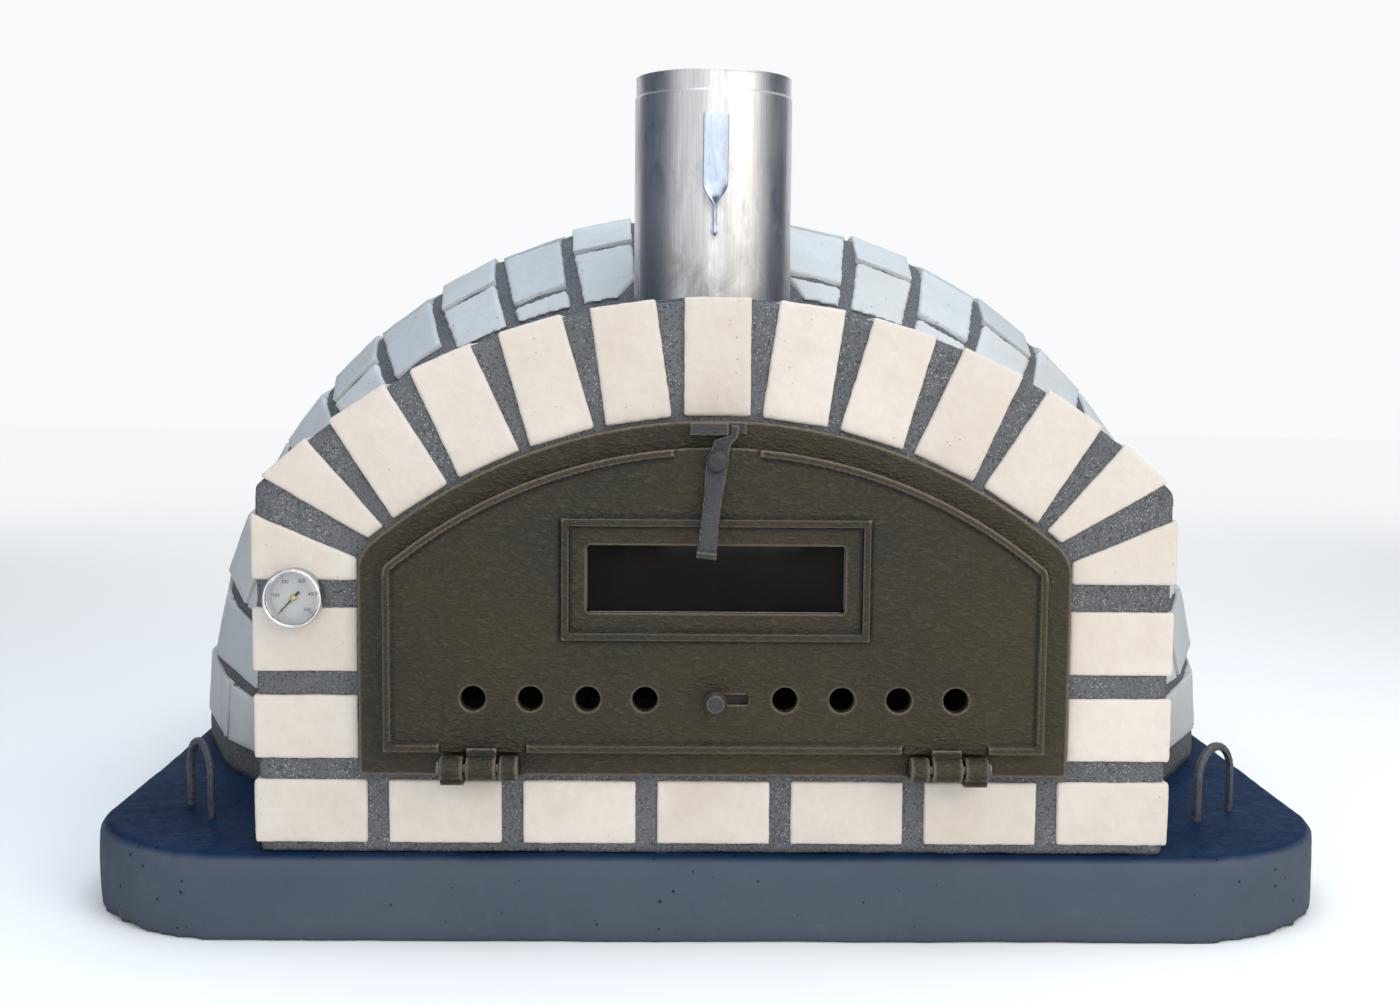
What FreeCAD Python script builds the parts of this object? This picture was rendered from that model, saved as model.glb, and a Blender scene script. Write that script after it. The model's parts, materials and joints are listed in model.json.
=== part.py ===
import FreeCAD, Part
import math
import os
import re
import Sketcher

from FreeCAD import Placement, Rotation, Vector

# Wood fired pizza oven: a cast slab, an insulated refractory dome clad in cut bricks, a brick facade
# with a cast iron door, and a steel flue with a damper.
# Frame: +Z up, +X to the right and +Y into the oven. The origin is the centre of the slab's
# underside, below the dome's axis. Millimetres and degrees.

doc = FreeCAD.newDocument("pizza_oven")
sheet = doc.addObject("Spreadsheet::Sheet", "sizes")

sizes = {
    # slab and its lifting loops
    "slab_thickness": 80, "slab_margin": 10, "slab_corner": 170, "slab_edge": 6,
    "loop_bar": 4, "loop_span": 60, "loop_rise": 70, "loop_anchor": 45, "loop_clearance": 0.2,
    "loop_side": 98, "loop_end": 150,
    # hearth
    "board_thickness": 60, "tile_thickness": 35, "tile_length": 250, "tile_width": 125, "tile_gap": 2,
    "tile_edge_gap": 2,
    # dome, from the inside out, as wall thicknesses
    "dome_inner": 455, "dome_wall": 60, "blanket_thickness": 40, "mortar_thickness": 35,
    "dome_rise": 25, "layer_gap": 0.6, "brick_stand": 10, "brick_thickness": 35, "brick_joint": 14,
    # facade
    "facade_setback": 10, "facade_stand": 20, "jamb_width": 96.5, "facade_depth": 100,
    "facade_lap": 43, "joint_recess": 3,
    "arch_drop": 85, "arch_radius": 590, "brick_height": 105, "brick_width": 59, "arch_pitch": 8.25,
    "springer_outer": 43.5, "springer_inner": 39.8,
    "sill_bed": 10, "sill_brick_height": 58, "sill_joint": 19.5,
    "jamb_lower": 88, "jamb_upper": 167.5, "jamb_brick_height": 57.5, "frame_joint": 2,
    "skewback_foot": 250, "skewback_outer": 309.6, "skewback_inner": 270,
    # entry vault and flue
    "vault_wall": 40, "flue_outer": 80, "flue_wall": 1.5, "flue_set": 253, "flue_top": 731,
    "spigot_step": 1.2, "spigot_length": 22,
    "collar_ledge": 5, "collar_wall": 20, "collar_foot": 430, "collar_top": 575, "flue_seat": 520,
    "flue_gap": 0.3, "fillet_width": 9, "fillet_height": 7, "flue_joint": 21,
    # damper
    "damper_height": 655, "damper_clearance": 2, "damper_thickness": 2, "spindle_radius": 4,
    "spindle_reach": 12, "spindle_tail": 6, "running_gap": 0.05, "damper_screw_radius": 2,
    "damper_screw_span": 45, "damper_screw_head": 4, "paddle_width": 24, "paddle_length": 55,
    "strap_thickness": 4, "strap_width": 12, "twist_length": 28, "tail_length": 24, "foot_length": 14,
    "handle_lean": 13,
    # door frame
    "frame_width": 638, "frame_bottom": 75, "frame_radius": 481, "frame_corner": 35,
    "corner_least": 3, "flange_thickness": 12, "collar_depth": 60, "frame_wall": 6, "wall_gap": 0.5,
    # door leaf
    "leaf_inset": 23.5, "leaf_overlap": 10, "leaf_gap": 0.5, "leaf_thickness": 8,
    "bead_width": 6.5, "bead_height": 3, "bead_gap_top": 38.5, "bead_gap_inner": 168,
    "bead_gap_outer": 246, "knuckle_radius": 11, "hinge_drop": 12.5, "hinge_stand": 16,
    "hinge_offset": 207.5, "leaf_knuckle": 27, "outer_knuckle": 21, "inner_knuckle": 17,
    "knuckle_gap": 2.5, "pin_radius": 4, "pin_fit": 0.03, "pin_head_radius": 6.5, "pin_head_length": 3,
    # window
    "window_height": 335, "window_width": 229, "window_opening": 60, "rib_width": 7, "rib_height": 4,
    "rib_length": 275, "rib_depth": 109, "gasket_thickness": 1.5, "glass_thickness": 4,
    "glass_lap": 10, "retainer_thickness": 2, "retainer_lap": 24, "boss_radius": 5,
    "boss_side": 131, "boss_rise": 47, "screw_radius": 2.5, "screw_fit": 0.1, "screw_depth": 8,
    "screw_head": 4.5, "screw_head_height": 2.5,
    # air vents
    "vent_height": 227, "vent_radius": 11, "vent_first": 62.5, "vent_pitch": 51.1, "vent_travel": 25.5,
    "vent_bevel": 1, "slider_thickness": 2.5, "slider_height": 34, "slider_margin": 20,
    "slider_gap": 0.3, "guide_margin": 12, "guide_height": 8, "guide_lip": 4, "guide_lip_thickness": 2,
    "stem_radius": 3.9, "slot_gap": 0.4, "knob_radius": 10.5, "knob_length": 16, "knob_stand": 6,
    # latch
    "latch_height": 441, "latch_lean": 6.7, "lever_thickness": 5.5, "lever_gap": 0.5,
    "hub_radius": 10.5, "bolt_radius": 5, "bolt_head": 10.5, "bolt_head_height": 5, "arm_width": 19,
    "arm_length": 84, "arm_slope": 32, "arm_thickness": 5,
    "catch_height": 469.5, "catch_depth": 11, "catch_left": 24, "catch_right": 26, "catch_base": 4,
    "catch_gap": 11, "catch_bar": 8, "catch_end": 9.5, "catch_post": 10,
    # thermometer
    "gauge_inset": 39.9, "gauge_height": 315.3, "gauge_radius": 27, "gauge_wall": 2.5,
    "gauge_depth": 14, "gauge_back": 6, "gauge_lip": 3, "gauge_lip_inner": 23, "gauge_fit": 0.2,
    "dial_thickness": 1, "lens_thickness": 2, "needle_reach": 19, "needle_tail": 7, "needle_width": 1.6,
    "needle_stand": 1.2, "needle_thickness": 0.8, "needle_hub": 2.6, "gauge_spindle": 1,
    "gauge_zero": 137, "probe_radius": 4, "probe_length": 335, "probe_gap": 0.3,
}

for row, (alias, number) in enumerate(sizes.items(), start=1):
    sheet.set("A%d" % row, alias)
    sheet.set("B%d" % row, str(number))
    sheet.setAlias("B%d" % row, alias)
doc.recompute()

# Places and sizes that follow from the driving sizes.
derived = {
    "brick_face": "-(mortar_outer + facade_stand)",
    "slab_width": "2 * (mortar_outer + slab_margin)",
    "slab_depth": "2 * (facade_setback - brick_face)",
    "facade_width": "frame_width + 2 * jamb_width",
    "mortar_face": "brick_face + joint_recess",
    "facade_back": "brick_face + facade_depth",
    "facade_crown": "arch_centre + arch_radius - dome_centre",
    "facade_rear": "facade_lap - sqrt(max(mortar_outer ^ 2 - (facade_crown) ^ 2; 1))",
    "gauge_side": "facade_width / 2 - gauge_inset",
    "loop_x": "slab_width / 2 - loop_side",
    "loop_y": "slab_depth / 2 - loop_end",
    "collar_bore": "flue_outer - collar_ledge",
    "collar_radius": "flue_outer + collar_wall",
    "hearth_bed": "slab_thickness + board_thickness",
    "hearth": "hearth_bed + tile_thickness",
    "dome_centre": "slab_thickness + dome_rise",
    "dome_level": "dome_centre + dome_inner / 2",
    "dome_outer": "dome_inner + dome_wall",
    "mortar_inner": "dome_outer + blanket_thickness",
    "mortar_outer": "mortar_inner + mortar_thickness",
    "arch_centre": "slab_thickness - arch_drop",
    "frame_foot": "slab_thickness + frame_bottom",
    "opening_inset": "leaf_inset + leaf_overlap",
    "tunnel_inset": "opening_inset - frame_wall - wall_gap",
    "vault_inset": "opening_inset - vault_wall",
    "flue_y": "brick_face + flue_set",
    "flange_front": "mortar_face - flange_thickness",
    "leaf_back": "flange_front - leaf_gap",
    "leaf_front": "leaf_back - leaf_thickness",
    "hinge_y": "flange_front - hinge_stand",
    "hinge_z": "frame_foot + leaf_inset - hinge_drop",
    "gasket_back": "leaf_back + gasket_thickness",
    "glass_back": "gasket_back + glass_thickness",
    "retainer_back": "glass_back + retainer_thickness",
    "slider_front": "leaf_back + slider_gap",
    "slider_back": "slider_front + slider_thickness",
    "slider_half": "vent_first + 3 * vent_pitch + slider_margin",
    "lever_back": "leaf_front - lever_gap",
    "catch_back": "flange_front - catch_base",
    "damper_z": "damper_height",
    "spindle_front": "flue_y - flue_outer - spindle_reach",
}


def spell(text):
    """The expression with each derived name written out and each size read from the sheet."""
    def swap(match):
        word = match.group(0)
        if word in derived:
            return "(%s)" % spell(derived[word])
        if word in sizes:
            return "sizes.%s" % word
        return word
    return re.sub(r"[a-z_]+", swap, str(text))


def value(text):
    return float(sheet.evalExpression(spell(text)))


def bind(thing, prop, text):
    thing.setExpression(prop, spell(text))


finished = {}


def keep(label, thing):
    thing.Label = label
    finished[label] = thing
    return thing


# ---- sketches -------------------------------------------------------------------------------

def newBody(name):
    return doc.addObject("PartDesign::Body", name)


def newSketch(body, plane, shift="0"):
    """A sketch on one of the body's own origin planes, moved by shift along world +X, +Y or +Z."""
    sketch = body.newObject("Sketcher::SketchObject", "outline")
    origin = [f for f in body.Origin.OriginFeatures if f.Role == plane][0]
    sketch.AttachmentSupport = [(origin, "")]
    sketch.MapMode = "FlatFace"
    sign = "-" if plane == "XZ_Plane" else ""
    bind(sketch, "AttachmentOffset.Base.z", "%s(%s)" % (sign, shift))
    return sketch


def pin(sketch, geometry, end, across, up):
    """Fixes a point of the sketch at the two expressions."""
    for kind, text, axis in (("DistanceX", across, -2), ("DistanceY", up, -1)):
        if abs(value(text)) < 1e-9:
            sketch.addConstraint(fc("PointOnObject", geometry, end, axis))
            continue
        number = sketch.addConstraint(fc(kind, -1, 1, geometry, end, value(text)))
        bind(sketch, "Constraints[%d]" % number, text)


def fc(*arguments):
    return Sketcher.Constraint(*arguments)


def polygon(sketch, corners):
    """A closed outline of straight lines, each corner given as two expressions."""
    spots = [Vector(value(a), value(b), 0) for a, b in corners]
    first = sketch.GeometryCount
    count = len(spots)
    for index in range(count):
        sketch.addGeometry(Part.LineSegment(spots[index], spots[(index + 1) % count]), False)
    for index, corner in enumerate(corners):
        sketch.addConstraint(fc("Coincident", first + index, 2, first + (index + 1) % count, 1))
        pin(sketch, first + index, 1, *corner)


def rectangle(sketch, left, low, right, high):
    polygon(sketch, [(left, low), (right, low), (right, high), (left, high)])


def circle(sketch, across, up, radius):
    spot = Vector(value(across), value(up), 0)
    number = sketch.addGeometry(Part.Circle(spot, Vector(0, 0, 1), value(radius)), False)
    pin(sketch, number, 3, across, up)
    bind(sketch, "Constraints[%d]" % sketch.addConstraint(fc("Radius", number, value(radius))), radius)


def archOutline(sketch, half, foot, radius, corner=None):
    """Straight foot and sides under a round arch about the facade's arch centre."""
    a, low, r = value(half), value(foot), value(radius)
    centre = value("arch_centre")
    c = value(corner) if corner else 0.0
    rise = centre + math.sqrt((r - c) ** 2 - (a - c) ** 2)
    turn = math.atan2(rise - centre, a - c)
    first = sketch.GeometryCount
    up = Vector(0, 0, 1)
    sketch.addGeometry(Part.LineSegment(Vector(-a, low, 0), Vector(a, low, 0)), False)
    sketch.addGeometry(Part.LineSegment(Vector(a, low, 0), Vector(a, rise, 0)), False)
    sketch.addGeometry(Part.LineSegment(Vector(-a, rise, 0), Vector(-a, low, 0)), False)
    crown = Part.Circle(Vector(0, centre, 0), up, r)
    sketch.addGeometry(Part.ArcOfCircle(crown, turn, math.pi - turn), False)
    foot_line, right, left, top = range(first, first + 4)
    sketch.addConstraint(fc("Coincident", foot_line, 2, right, 1))
    sketch.addConstraint(fc("Coincident", left, 2, foot_line, 1))
    pin(sketch, foot_line, 1, "-(%s)" % half, foot)
    pin(sketch, foot_line, 2, half, foot)
    sketch.addConstraint(fc("Vertical", right))
    sketch.addConstraint(fc("Vertical", left))
    if c:
        for side, line, end, start in ((1, right, 2, 0.0), (-1, left, 1, math.pi - turn)):
            bend = Part.Circle(Vector(side * (a - c), rise, 0), up, c)
            arc = sketch.addGeometry(Part.ArcOfCircle(bend, start, start + turn), False)
            line_end, crown_end = (1, 2) if side > 0 else (2, 1)
            sketch.addConstraint(fc("Tangent", line, end, arc, line_end))
            sketch.addConstraint(fc("Tangent", arc, crown_end, top, 1 if side > 0 else 2))
            number = sketch.addConstraint(fc("Radius", arc, c))
            bind(sketch, "Constraints[%d]" % number, corner)
    else:
        sketch.addConstraint(fc("Coincident", right, 2, top, 1))
        sketch.addConstraint(fc("Coincident", left, 1, top, 2))
    pin(sketch, top, 3, "0", "arch_centre")
    number = sketch.addConstraint(fc("Radius", top, r))
    bind(sketch, "Constraints[%d]" % number, radius)


def frameOutline(sketch, inset, foot=None):
    """The door frame's outline, moved inwards by the inset."""
    archOutline(
        sketch,
        "frame_width / 2 - (%s)" % inset,
        foot or "frame_foot + (%s)" % inset,
        "frame_radius - (%s)" % inset,
        "max(frame_corner - (%s); corner_least)" % inset,
    )


# ---- features -------------------------------------------------------------------------------

def pad(body, sketch, length, backwards=False):
    feature = body.newObject("PartDesign::Pad", "pad")
    feature.Profile = sketch
    bind(feature, "Length", length)
    feature.Reversed = backwards
    doc.recompute()
    return feature


def padThrough(body, front, back, draw):
    """Pads what draw puts in a sketch from y = front to y = back."""
    sketch = newSketch(body, "XZ_Plane", front)
    draw(sketch)
    return pad(body, sketch, "(%s) - (%s)" % (back, front), True)


def padAcross(body, left, right, draw):
    """Pads what draw puts in a side view sketch from x = left to x = right."""
    sketch = newSketch(body, "YZ_Plane", left)
    draw(sketch)
    return pad(body, sketch, "(%s) - (%s)" % (right, left))


def pocketThrough(body, front, back, draw):
    """Pockets what draw puts in a sketch from y = front to y = back."""
    sketch = newSketch(body, "XZ_Plane", front)
    draw(sketch)
    return pocket(body, sketch, "(%s) - (%s)" % (back, front))


def pocket(body, sketch, length, forwards=False):
    before = body.Shape.Volume
    feature = body.newObject("PartDesign::Pocket", "pocket")
    feature.Profile = sketch
    feature.Reversed = forwards
    bind(feature, "Length", length)
    doc.recompute()
    if body.Shape.Volume >= before - 1e-6:
        raise ValueError("a pocket in %s removes nothing" % body.Name)
    return feature


def revolve(body, corners):
    """Turns an outline of (radius, y) corners about the Y axis through the body's own origin."""
    sketch = newSketch(body, "XY_Plane")
    polygon(sketch, corners)
    feature = body.newObject("PartDesign::Revolution", "turned")
    feature.Profile = sketch
    feature.ReferenceAxis = (sketch, ["V_Axis"])
    feature.Angle = 360
    doc.recompute()
    return feature


def roundEdges(body, radius, wanted):
    """Fillets the edges of the body's tip that the test picks."""
    tip = body.Tip
    names = ["Edge%d" % (i + 1) for i, edge in enumerate(tip.Shape.Edges) if wanted(edge)]
    feature = body.newObject("PartDesign::Fillet", "rounding")
    feature.Base = (tip, names)
    bind(feature, "Radius", radius)
    doc.recompute()
    return feature


def bevelEdges(body, size, wanted):
    tip = body.Tip
    names = ["Edge%d" % (i + 1) for i, edge in enumerate(tip.Shape.Edges) if wanted(edge)]
    feature = body.newObject("PartDesign::Chamfer", "bevel")
    feature.Base = (tip, names)
    bind(feature, "Size", size)
    doc.recompute()
    return feature


def flatAt(edge, axis, place):
    """Whether the whole edge lies at one place along an axis."""
    box = edge.BoundBox
    low, high = {"x": (box.XMin, box.XMax), "y": (box.YMin, box.YMax), "z": (box.ZMin, box.ZMax)}[axis]
    return abs(low - place) < 0.01 and abs(high - place) < 0.01


def stand(thing, x="0", y="0", z="0", turn=None):
    if turn:
        thing.Placement = Placement(Vector(), turn)
    for axis, text in (("x", x), ("y", y), ("z", z)):
        bind(thing, "Placement.Base.%s" % axis, text)
    return thing


def block(name, low, high):
    """A Part box between two corners given as expressions."""
    box = doc.addObject("Part::Box", name)
    for prop, start, end in zip(("Length", "Width", "Height"), low, high):
        bind(box, prop, "(%s) - (%s)" % (end, start))
    return stand(box, *low)


def post(name, radius, low, high, x="0", y="0"):
    """An upright cylinder from z = low to z = high."""
    rod = doc.addObject("Part::Cylinder", name)
    bind(rod, "Radius", radius)
    bind(rod, "Height", "(%s) - (%s)" % (high, low))
    return stand(rod, x, y, low)


def rod(name, radius, front, back, x="0", z="0"):
    """A cylinder along +Y from y = front to y = back."""
    bar = doc.addObject("Part::Cylinder", name)
    bind(bar, "Radius", radius)
    bind(bar, "Height", "(%s) - (%s)" % (back, front))
    return stand(bar, x, front, z, Rotation(Vector(1, 0, 0), -90))


def ball(name, radius):
    globe = doc.addObject("Part::Sphere", name)
    bind(globe, "Radius", radius)
    return stand(globe, z="dome_centre")


def cut(name, base, *tools):
    for tool in tools:
        piece = doc.addObject("Part::Cut", name)
        piece.Base = base
        piece.Tool = tool
        base = piece
    return base


def join(name, *things):
    piece = doc.addObject("Part::MultiFuse", name)
    piece.Shapes = list(things)
    return piece


def overlap(name, base, tool):
    piece = doc.addObject("Part::Common", name)
    piece.Base = base
    piece.Tool = tool
    return piece


def group(label, things):
    piece = doc.addObject("Part::Compound", label)
    piece.Links = list(things)
    return keep(label, piece)


def portions(label, base, seam, level=None):
    """The pieces that meet at x = 0, at y = the seam and, where one is given, at a level."""
    reach, top = "slab_depth", "slab_thickness + 2 * arch_radius"
    layers = [("-1", top)] if level is None else [("-1", level), (level, top)]
    pieces = []
    for left, right in (("-slab_width", "0"), ("0", "slab_width")):
        for near, far in (("-(%s)" % reach, seam), (seam, reach)):
            for low, high in layers:
                space = block("portion_space", (left, near, low), (right, far, high))
                pieces.append(overlap(label + "_portion", base, space))
    return group(label, pieces)


def archPrism(name, half, foot, radius, front, back):
    body = newBody(name)
    padThrough(body, front, back, lambda s: archOutline(s, half, foot, radius))
    return body


def framePrism(name, inset, foot, front, back):
    body = newBody(name)
    padThrough(body, front, back, lambda s: frameOutline(s, inset, foot))
    return body


# ---- slab and lifting loops -----------------------------------------------------------------

loopPlaces = {
    "front_left": (-1, -1, 56),
    "front_right": (1, -1, -42),
    "rear_left": (-1, 1, -48),
    "rear_right": (1, 1, 48),
}


def loopFeet(side, end, angle):
    """The plan places of a loop's two feet, as expressions."""
    along, aside = math.cos(math.radians(-angle)), math.sin(math.radians(-angle))
    for foot in (-0.5, 0.5):
        x = "%d * loop_x + (%.6f) * loop_span" % (side, foot * along)
        y = "%d * loop_y + (%.6f) * loop_span" % (end, foot * aside)
        yield x, y


def makeSlab():
    body = newBody("slab_body")
    sketch = newSketch(body, "XY_Plane")
    rectangle(sketch, "-slab_width / 2", "-slab_depth / 2", "slab_width / 2", "slab_depth / 2")
    pad(body, sketch, "slab_thickness")
    roundEdges(body, "slab_corner", lambda e: abs(e.Length - value("slab_thickness")) < 0.01)
    roundEdges(body, "slab_edge", lambda e: flatAt(e, "z", value("slab_thickness")))
    sketch = newSketch(body, "XY_Plane", "slab_thickness")
    for place in loopPlaces.values():
        for x, y in loopFeet(*place):
            circle(sketch, x, y, "loop_bar + loop_clearance")
    pocket(body, sketch, "loop_anchor")
    keep("base_slab", body)


def makeLoop(name, side, end, angle):
    """A bar bent into a U, its feet set in the slab."""
    body = newBody("loop_body")
    path = newSketch(body, "XZ_Plane")
    half, top = value("loop_span / 2"), value("loop_anchor + loop_rise - loop_span / 2")
    path.addGeometry(Part.LineSegment(Vector(-half, 0, 0), Vector(-half, top, 0)), False)
    bend = Part.Circle(Vector(0, top, 0), Vector(0, 0, 1), half)
    path.addGeometry(Part.ArcOfCircle(bend, 0, math.pi), False)
    path.addGeometry(Part.LineSegment(Vector(half, top, 0), Vector(half, 0, 0)), False)
    path.addConstraint(fc("Tangent", 0, 2, 1, 2))
    path.addConstraint(fc("Tangent", 1, 1, 2, 1))
    pin(path, 0, 1, "-loop_span / 2", "0")
    pin(path, 2, 2, "loop_span / 2", "0")
    pin(path, 1, 3, "0", "loop_anchor + loop_rise - loop_span / 2")
    section = newSketch(body, "XY_Plane")
    circle(section, "-loop_span / 2", "0", "loop_bar")
    pipe = body.newObject("PartDesign::AdditivePipe", "bar")
    pipe.Profile = section
    pipe.Spine = (path, ["Edge1", "Edge2", "Edge3"])
    doc.recompute()
    turn = Rotation(Vector(0, 0, 1), -angle)
    stand(body, "%d * loop_x" % side, "%d * loop_y" % end, "slab_thickness - loop_anchor", turn)
    keep("lifting_loop_" + name, body)


# ---- hearth, dome and vault -----------------------------------------------------------------

def makeTools():
    """Solids that several pieces are cut with."""
    tools = {}
    tools["wall"] = block(
        "front_wall_space",
        ("-slab_width", "-slab_depth", "-1"),
        ("slab_width", "facade_back", "slab_thickness + 2 * arch_radius"),
    )
    tools["below_bed"] = block(
        "below_hearth_bed",
        ("-slab_width", "-slab_depth", "-slab_depth"),
        ("slab_width", "slab_depth", "hearth_bed"),
    )
    tools["below_slab_top"] = block(
        "below_slab_top",
        ("-slab_width", "-slab_depth", "-slab_depth"),
        ("slab_width", "slab_depth", "slab_thickness"),
    )
    tools["mouth"] = framePrism(
        "mouth_space", "opening_inset", "hearth_bed", "facade_back - 1", "facade_rear + 50"
    )
    tools["vault"] = framePrism(
        "vault_space", "vault_inset", "hearth_bed", "facade_back", "facade_rear + 20"
    )
    tools["bore"] = post(
        "flue_bore", "collar_bore", "hearth + 100", "flue_seat + 1", "0", "flue_y"
    )
    tools["socket"] = post(
        "flue_socket", "flue_outer + flue_gap", "flue_seat", "slab_thickness + flue_top + 50",
        "0", "flue_y"
    )
    tools["collar"] = post(
        "collar_space", "collar_radius + flue_gap", "collar_foot", "collar_top",
        "0", "flue_y"
    )
    tools["probe"] = rod(
        "probe_bore", "probe_radius + probe_gap", "brick_face - 1", "brick_face + probe_length",
        "-gauge_side", "gauge_height"
    )
    tools["dome"] = ball("dome_space", "dome_outer + layer_gap")
    tools["shell"] = ball("shell_space", "mortar_outer + layer_gap")
    return tools


def makeHearth(tools):
    board = post("board_disc", "mortar_inner - layer_gap - 1", "slab_thickness", "hearth_bed")
    porch = block(
        "board_porch",
        ("-(frame_width / 2 - vault_inset)", "facade_back", "slab_thickness"),
        ("frame_width / 2 - vault_inset", "0", "hearth_bed"),
    )
    keep("hearth_insulation", cut("board", join("board_whole", board, porch), tools["wall"]))

    low, high = value("hearth_bed"), value("hearth")
    radius = value("sqrt(dome_inner ^ 2 - (hearth - dome_centre) ^ 2) - tile_edge_gap")
    half = value("frame_width / 2 - opening_inset - tile_edge_gap")
    disc = Part.makeCylinder(radius, high - low, Vector(0, 0, low))
    front = value("facade_back")
    footprint = disc.fuse(Part.makeBox(2 * half, -front, high - low, Vector(-half, front, low)))
    length, width, gap = value("tile_length"), value("tile_width"), value("tile_gap")
    columns = math.ceil(radius / width) + 1
    rows = math.ceil(value("slab_depth") / length)
    tiles = []
    for column in range(-columns, columns):
        shift = length / 2 if column % 2 else 0
        for row in range(-rows, rows):
            corner = Vector(column * width + gap / 2, row * length + shift + gap / 2, low)
            tile = Part.makeBox(width - gap, length - gap, high - low, corner)
            piece = tile.common(footprint)
            tiles.extend(s for s in piece.Solids if s.Volume > smallestTile * tile.Volume)
    feature = doc.addObject("Part::Feature", "tiles")
    feature.Shape = Part.makeCompound(tiles)
    keep("hearth_tiles", feature)


def makeDome(tools):
    inner = ball("dome_inside", "dome_inner")
    outer = ball("dome_outside", "dome_outer")
    shell = cut("dome_shell", outer, inner, tools["below_bed"], tools["wall"], tools["mouth"],
                tools["bore"], tools["socket"], tools["probe"])
    portions("refractory_dome", shell, "0", "dome_level")

    wrap = cut("blanket", ball("blanket_outside", "mortar_inner - layer_gap"), tools["dome"],
               tools["below_bed"], tools["wall"], tools["vault"], tools["collar"], tools["socket"],
               tools["probe"])
    keep("insulation_blanket", wrap)

    vault_whole = framePrism(
        "vault_whole", "vault_inset + layer_gap", "hearth_bed", "facade_back", "facade_rear"
    )
    vault = cut("vault", vault_whole, tools["mouth"], tools["dome"], tools["bore"])
    keep("entry_vault", vault)


# ---- dome cladding --------------------------------------------------------------------------

# Tiers of cladding rows from the facade to the back: first and last angle from the front pole,
# number of rows over the top, and the length of a brick as an angle.
tiers = [(36.0, 141.0, 22, 16.5), (141.0, 157.0, 14, 16.0), (157.0, 170.0, 7, 13.0)]
capRadiusAngle = 8.6
capBricks = 10
sideAngle = 55.0       # rows nearer the slab than this belong to a side, and the rest to the crown
smallestBrick = 4000   # mm3; a thinner sliver beside the facade is left to the mortar
smallestTile = 0.02    # share of a whole hearth tile


def direction(polar, around):
    """The unit vector at an angle from the front pole and an angle around the Y axis."""
    p, a = math.radians(polar), math.radians(around)
    return Vector(math.sin(p) * math.cos(a), -math.cos(p), math.sin(p) * math.sin(a))


def frustum(rays, outer, inner, centre):
    """The solid between two radii inside the pyramid of four rays."""
    top = [centre + ray * outer for ray in rays]
    low = [centre + ray * inner for ray in rays]
    faces = [Part.Face(Part.makePolygon(top + top[:1])), Part.Face(Part.makePolygon(low + low[:1]))]
    for index in range(len(rays)):
        after = (index + 1) % len(rays)
        ring = [top[index], top[after], low[after], low[index], top[index]]
        faces.append(Part.Face(Part.makePolygon(ring)))
    solid = Part.Solid(Part.Shell(faces))
    if solid.Volume < 0:
        solid.reverse()
    return solid


def rowBricks(start, end, rows, length, row, outer, joint):
    """The ray bundles of one row's bricks; every other row starts with a half brick."""
    step = 180.0 / rows
    middle = (row + 0.5) * step
    first = start - (length / 2 if row % 2 else 0)
    for index in range(math.ceil((end - first) / length)):
        near, far = first + index * length, first + (index + 1) * length
        near, far = max(near, start), min(far, end)
        slack = math.degrees(joint / 2 / outer)
        if far - near < 5 * slack:
            continue
        rays = []
        for polar, sides in ((near + slack, (-1, 1)), (far - slack, (1, -1))):
            half = step / 2 - math.degrees(joint / 2 / (outer * math.sin(math.radians(polar))))
            rays.extend(direction(polar, middle + side * half) for side in sides)
        yield middle, rays


def makeCladding():
    outer = value("mortar_outer + brick_stand")
    inner = outer - value("brick_thickness")
    joint = value("brick_joint")
    centre = Vector(0, 0, value("dome_centre"))
    facade = archPrism(
        "facade_clearance", "facade_width / 2 + brick_joint", "0", "arch_radius + brick_joint",
        "-slab_depth", "max(-dome_inner / 2; facade_rear + brick_joint)"
    )
    flue = Part.makeCylinder(value("flue_outer + flue_joint"), value("slab_depth"),
                             Vector(0, value("flue_y"), 0))
    named = {"dome_bricks_left": [], "dome_bricks_crown": [], "dome_bricks_right": [],
             "dome_bricks_rear": []}
    for tier, (start, end, rows, length) in enumerate(tiers):
        for row in range(rows):
            for middle, rays in rowBricks(start, end, rows, length, row, outer, joint):
                brick = frustum(rays, outer, inner, centre)
                if rays[0].y < 0:
                    brick = brick.cut(facade.Shape).cut(flue)
                whole = [s for s in brick.Solids if s.Volume > smallestBrick]
                side = "right" if middle < sideAngle else "left" if middle > 180 - sideAngle else "crown"
                named["dome_bricks_rear" if tier else "dome_bricks_" + side].extend(whole)
    spokes = [direction(180 - capRadiusAngle, 360 / capBricks * (k + 0.5)) for k in range(capBricks)]
    cap = [s for s in frustum(spokes, outer, inner, centre).Solids]
    lowest = Part.makeBox(2 * outer, 2 * outer, outer, Vector(-outer, 0, centre.z + joint / 2))
    named["dome_bricks_rear"].extend(s for c in cap for s in c.common(lowest).Solids)
    features = []
    for label, bricks in named.items():
        feature = doc.addObject("Part::Feature", label)
        feature.Shape = Part.makeCompound(bricks)
        features.append(keep(label, feature))
    return features


def makeMortar(tools, bricks):
    shell = cut("mortar_shell", ball("mortar_outside", "mortar_outer"),
                ball("mortar_inside", "mortar_inner"), tools["below_slab_top"], tools["wall"])
    board = block(
        "porch_space",
        ("-(frame_width / 2 - vault_inset)", "facade_back - 1", "slab_thickness - 1"),
        ("frame_width / 2 - vault_inset", "0", "hearth_bed"),
    )
    shell = cut("mortar_cut", shell, board, tools["vault"], tools["collar"], tools["socket"],
                tools["probe"])
    portions("dome_mortar", cut("mortar_pockets", shell, *bricks), "0", "dome_level")
    return board


# ---- facade ---------------------------------------------------------------------------------

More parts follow.
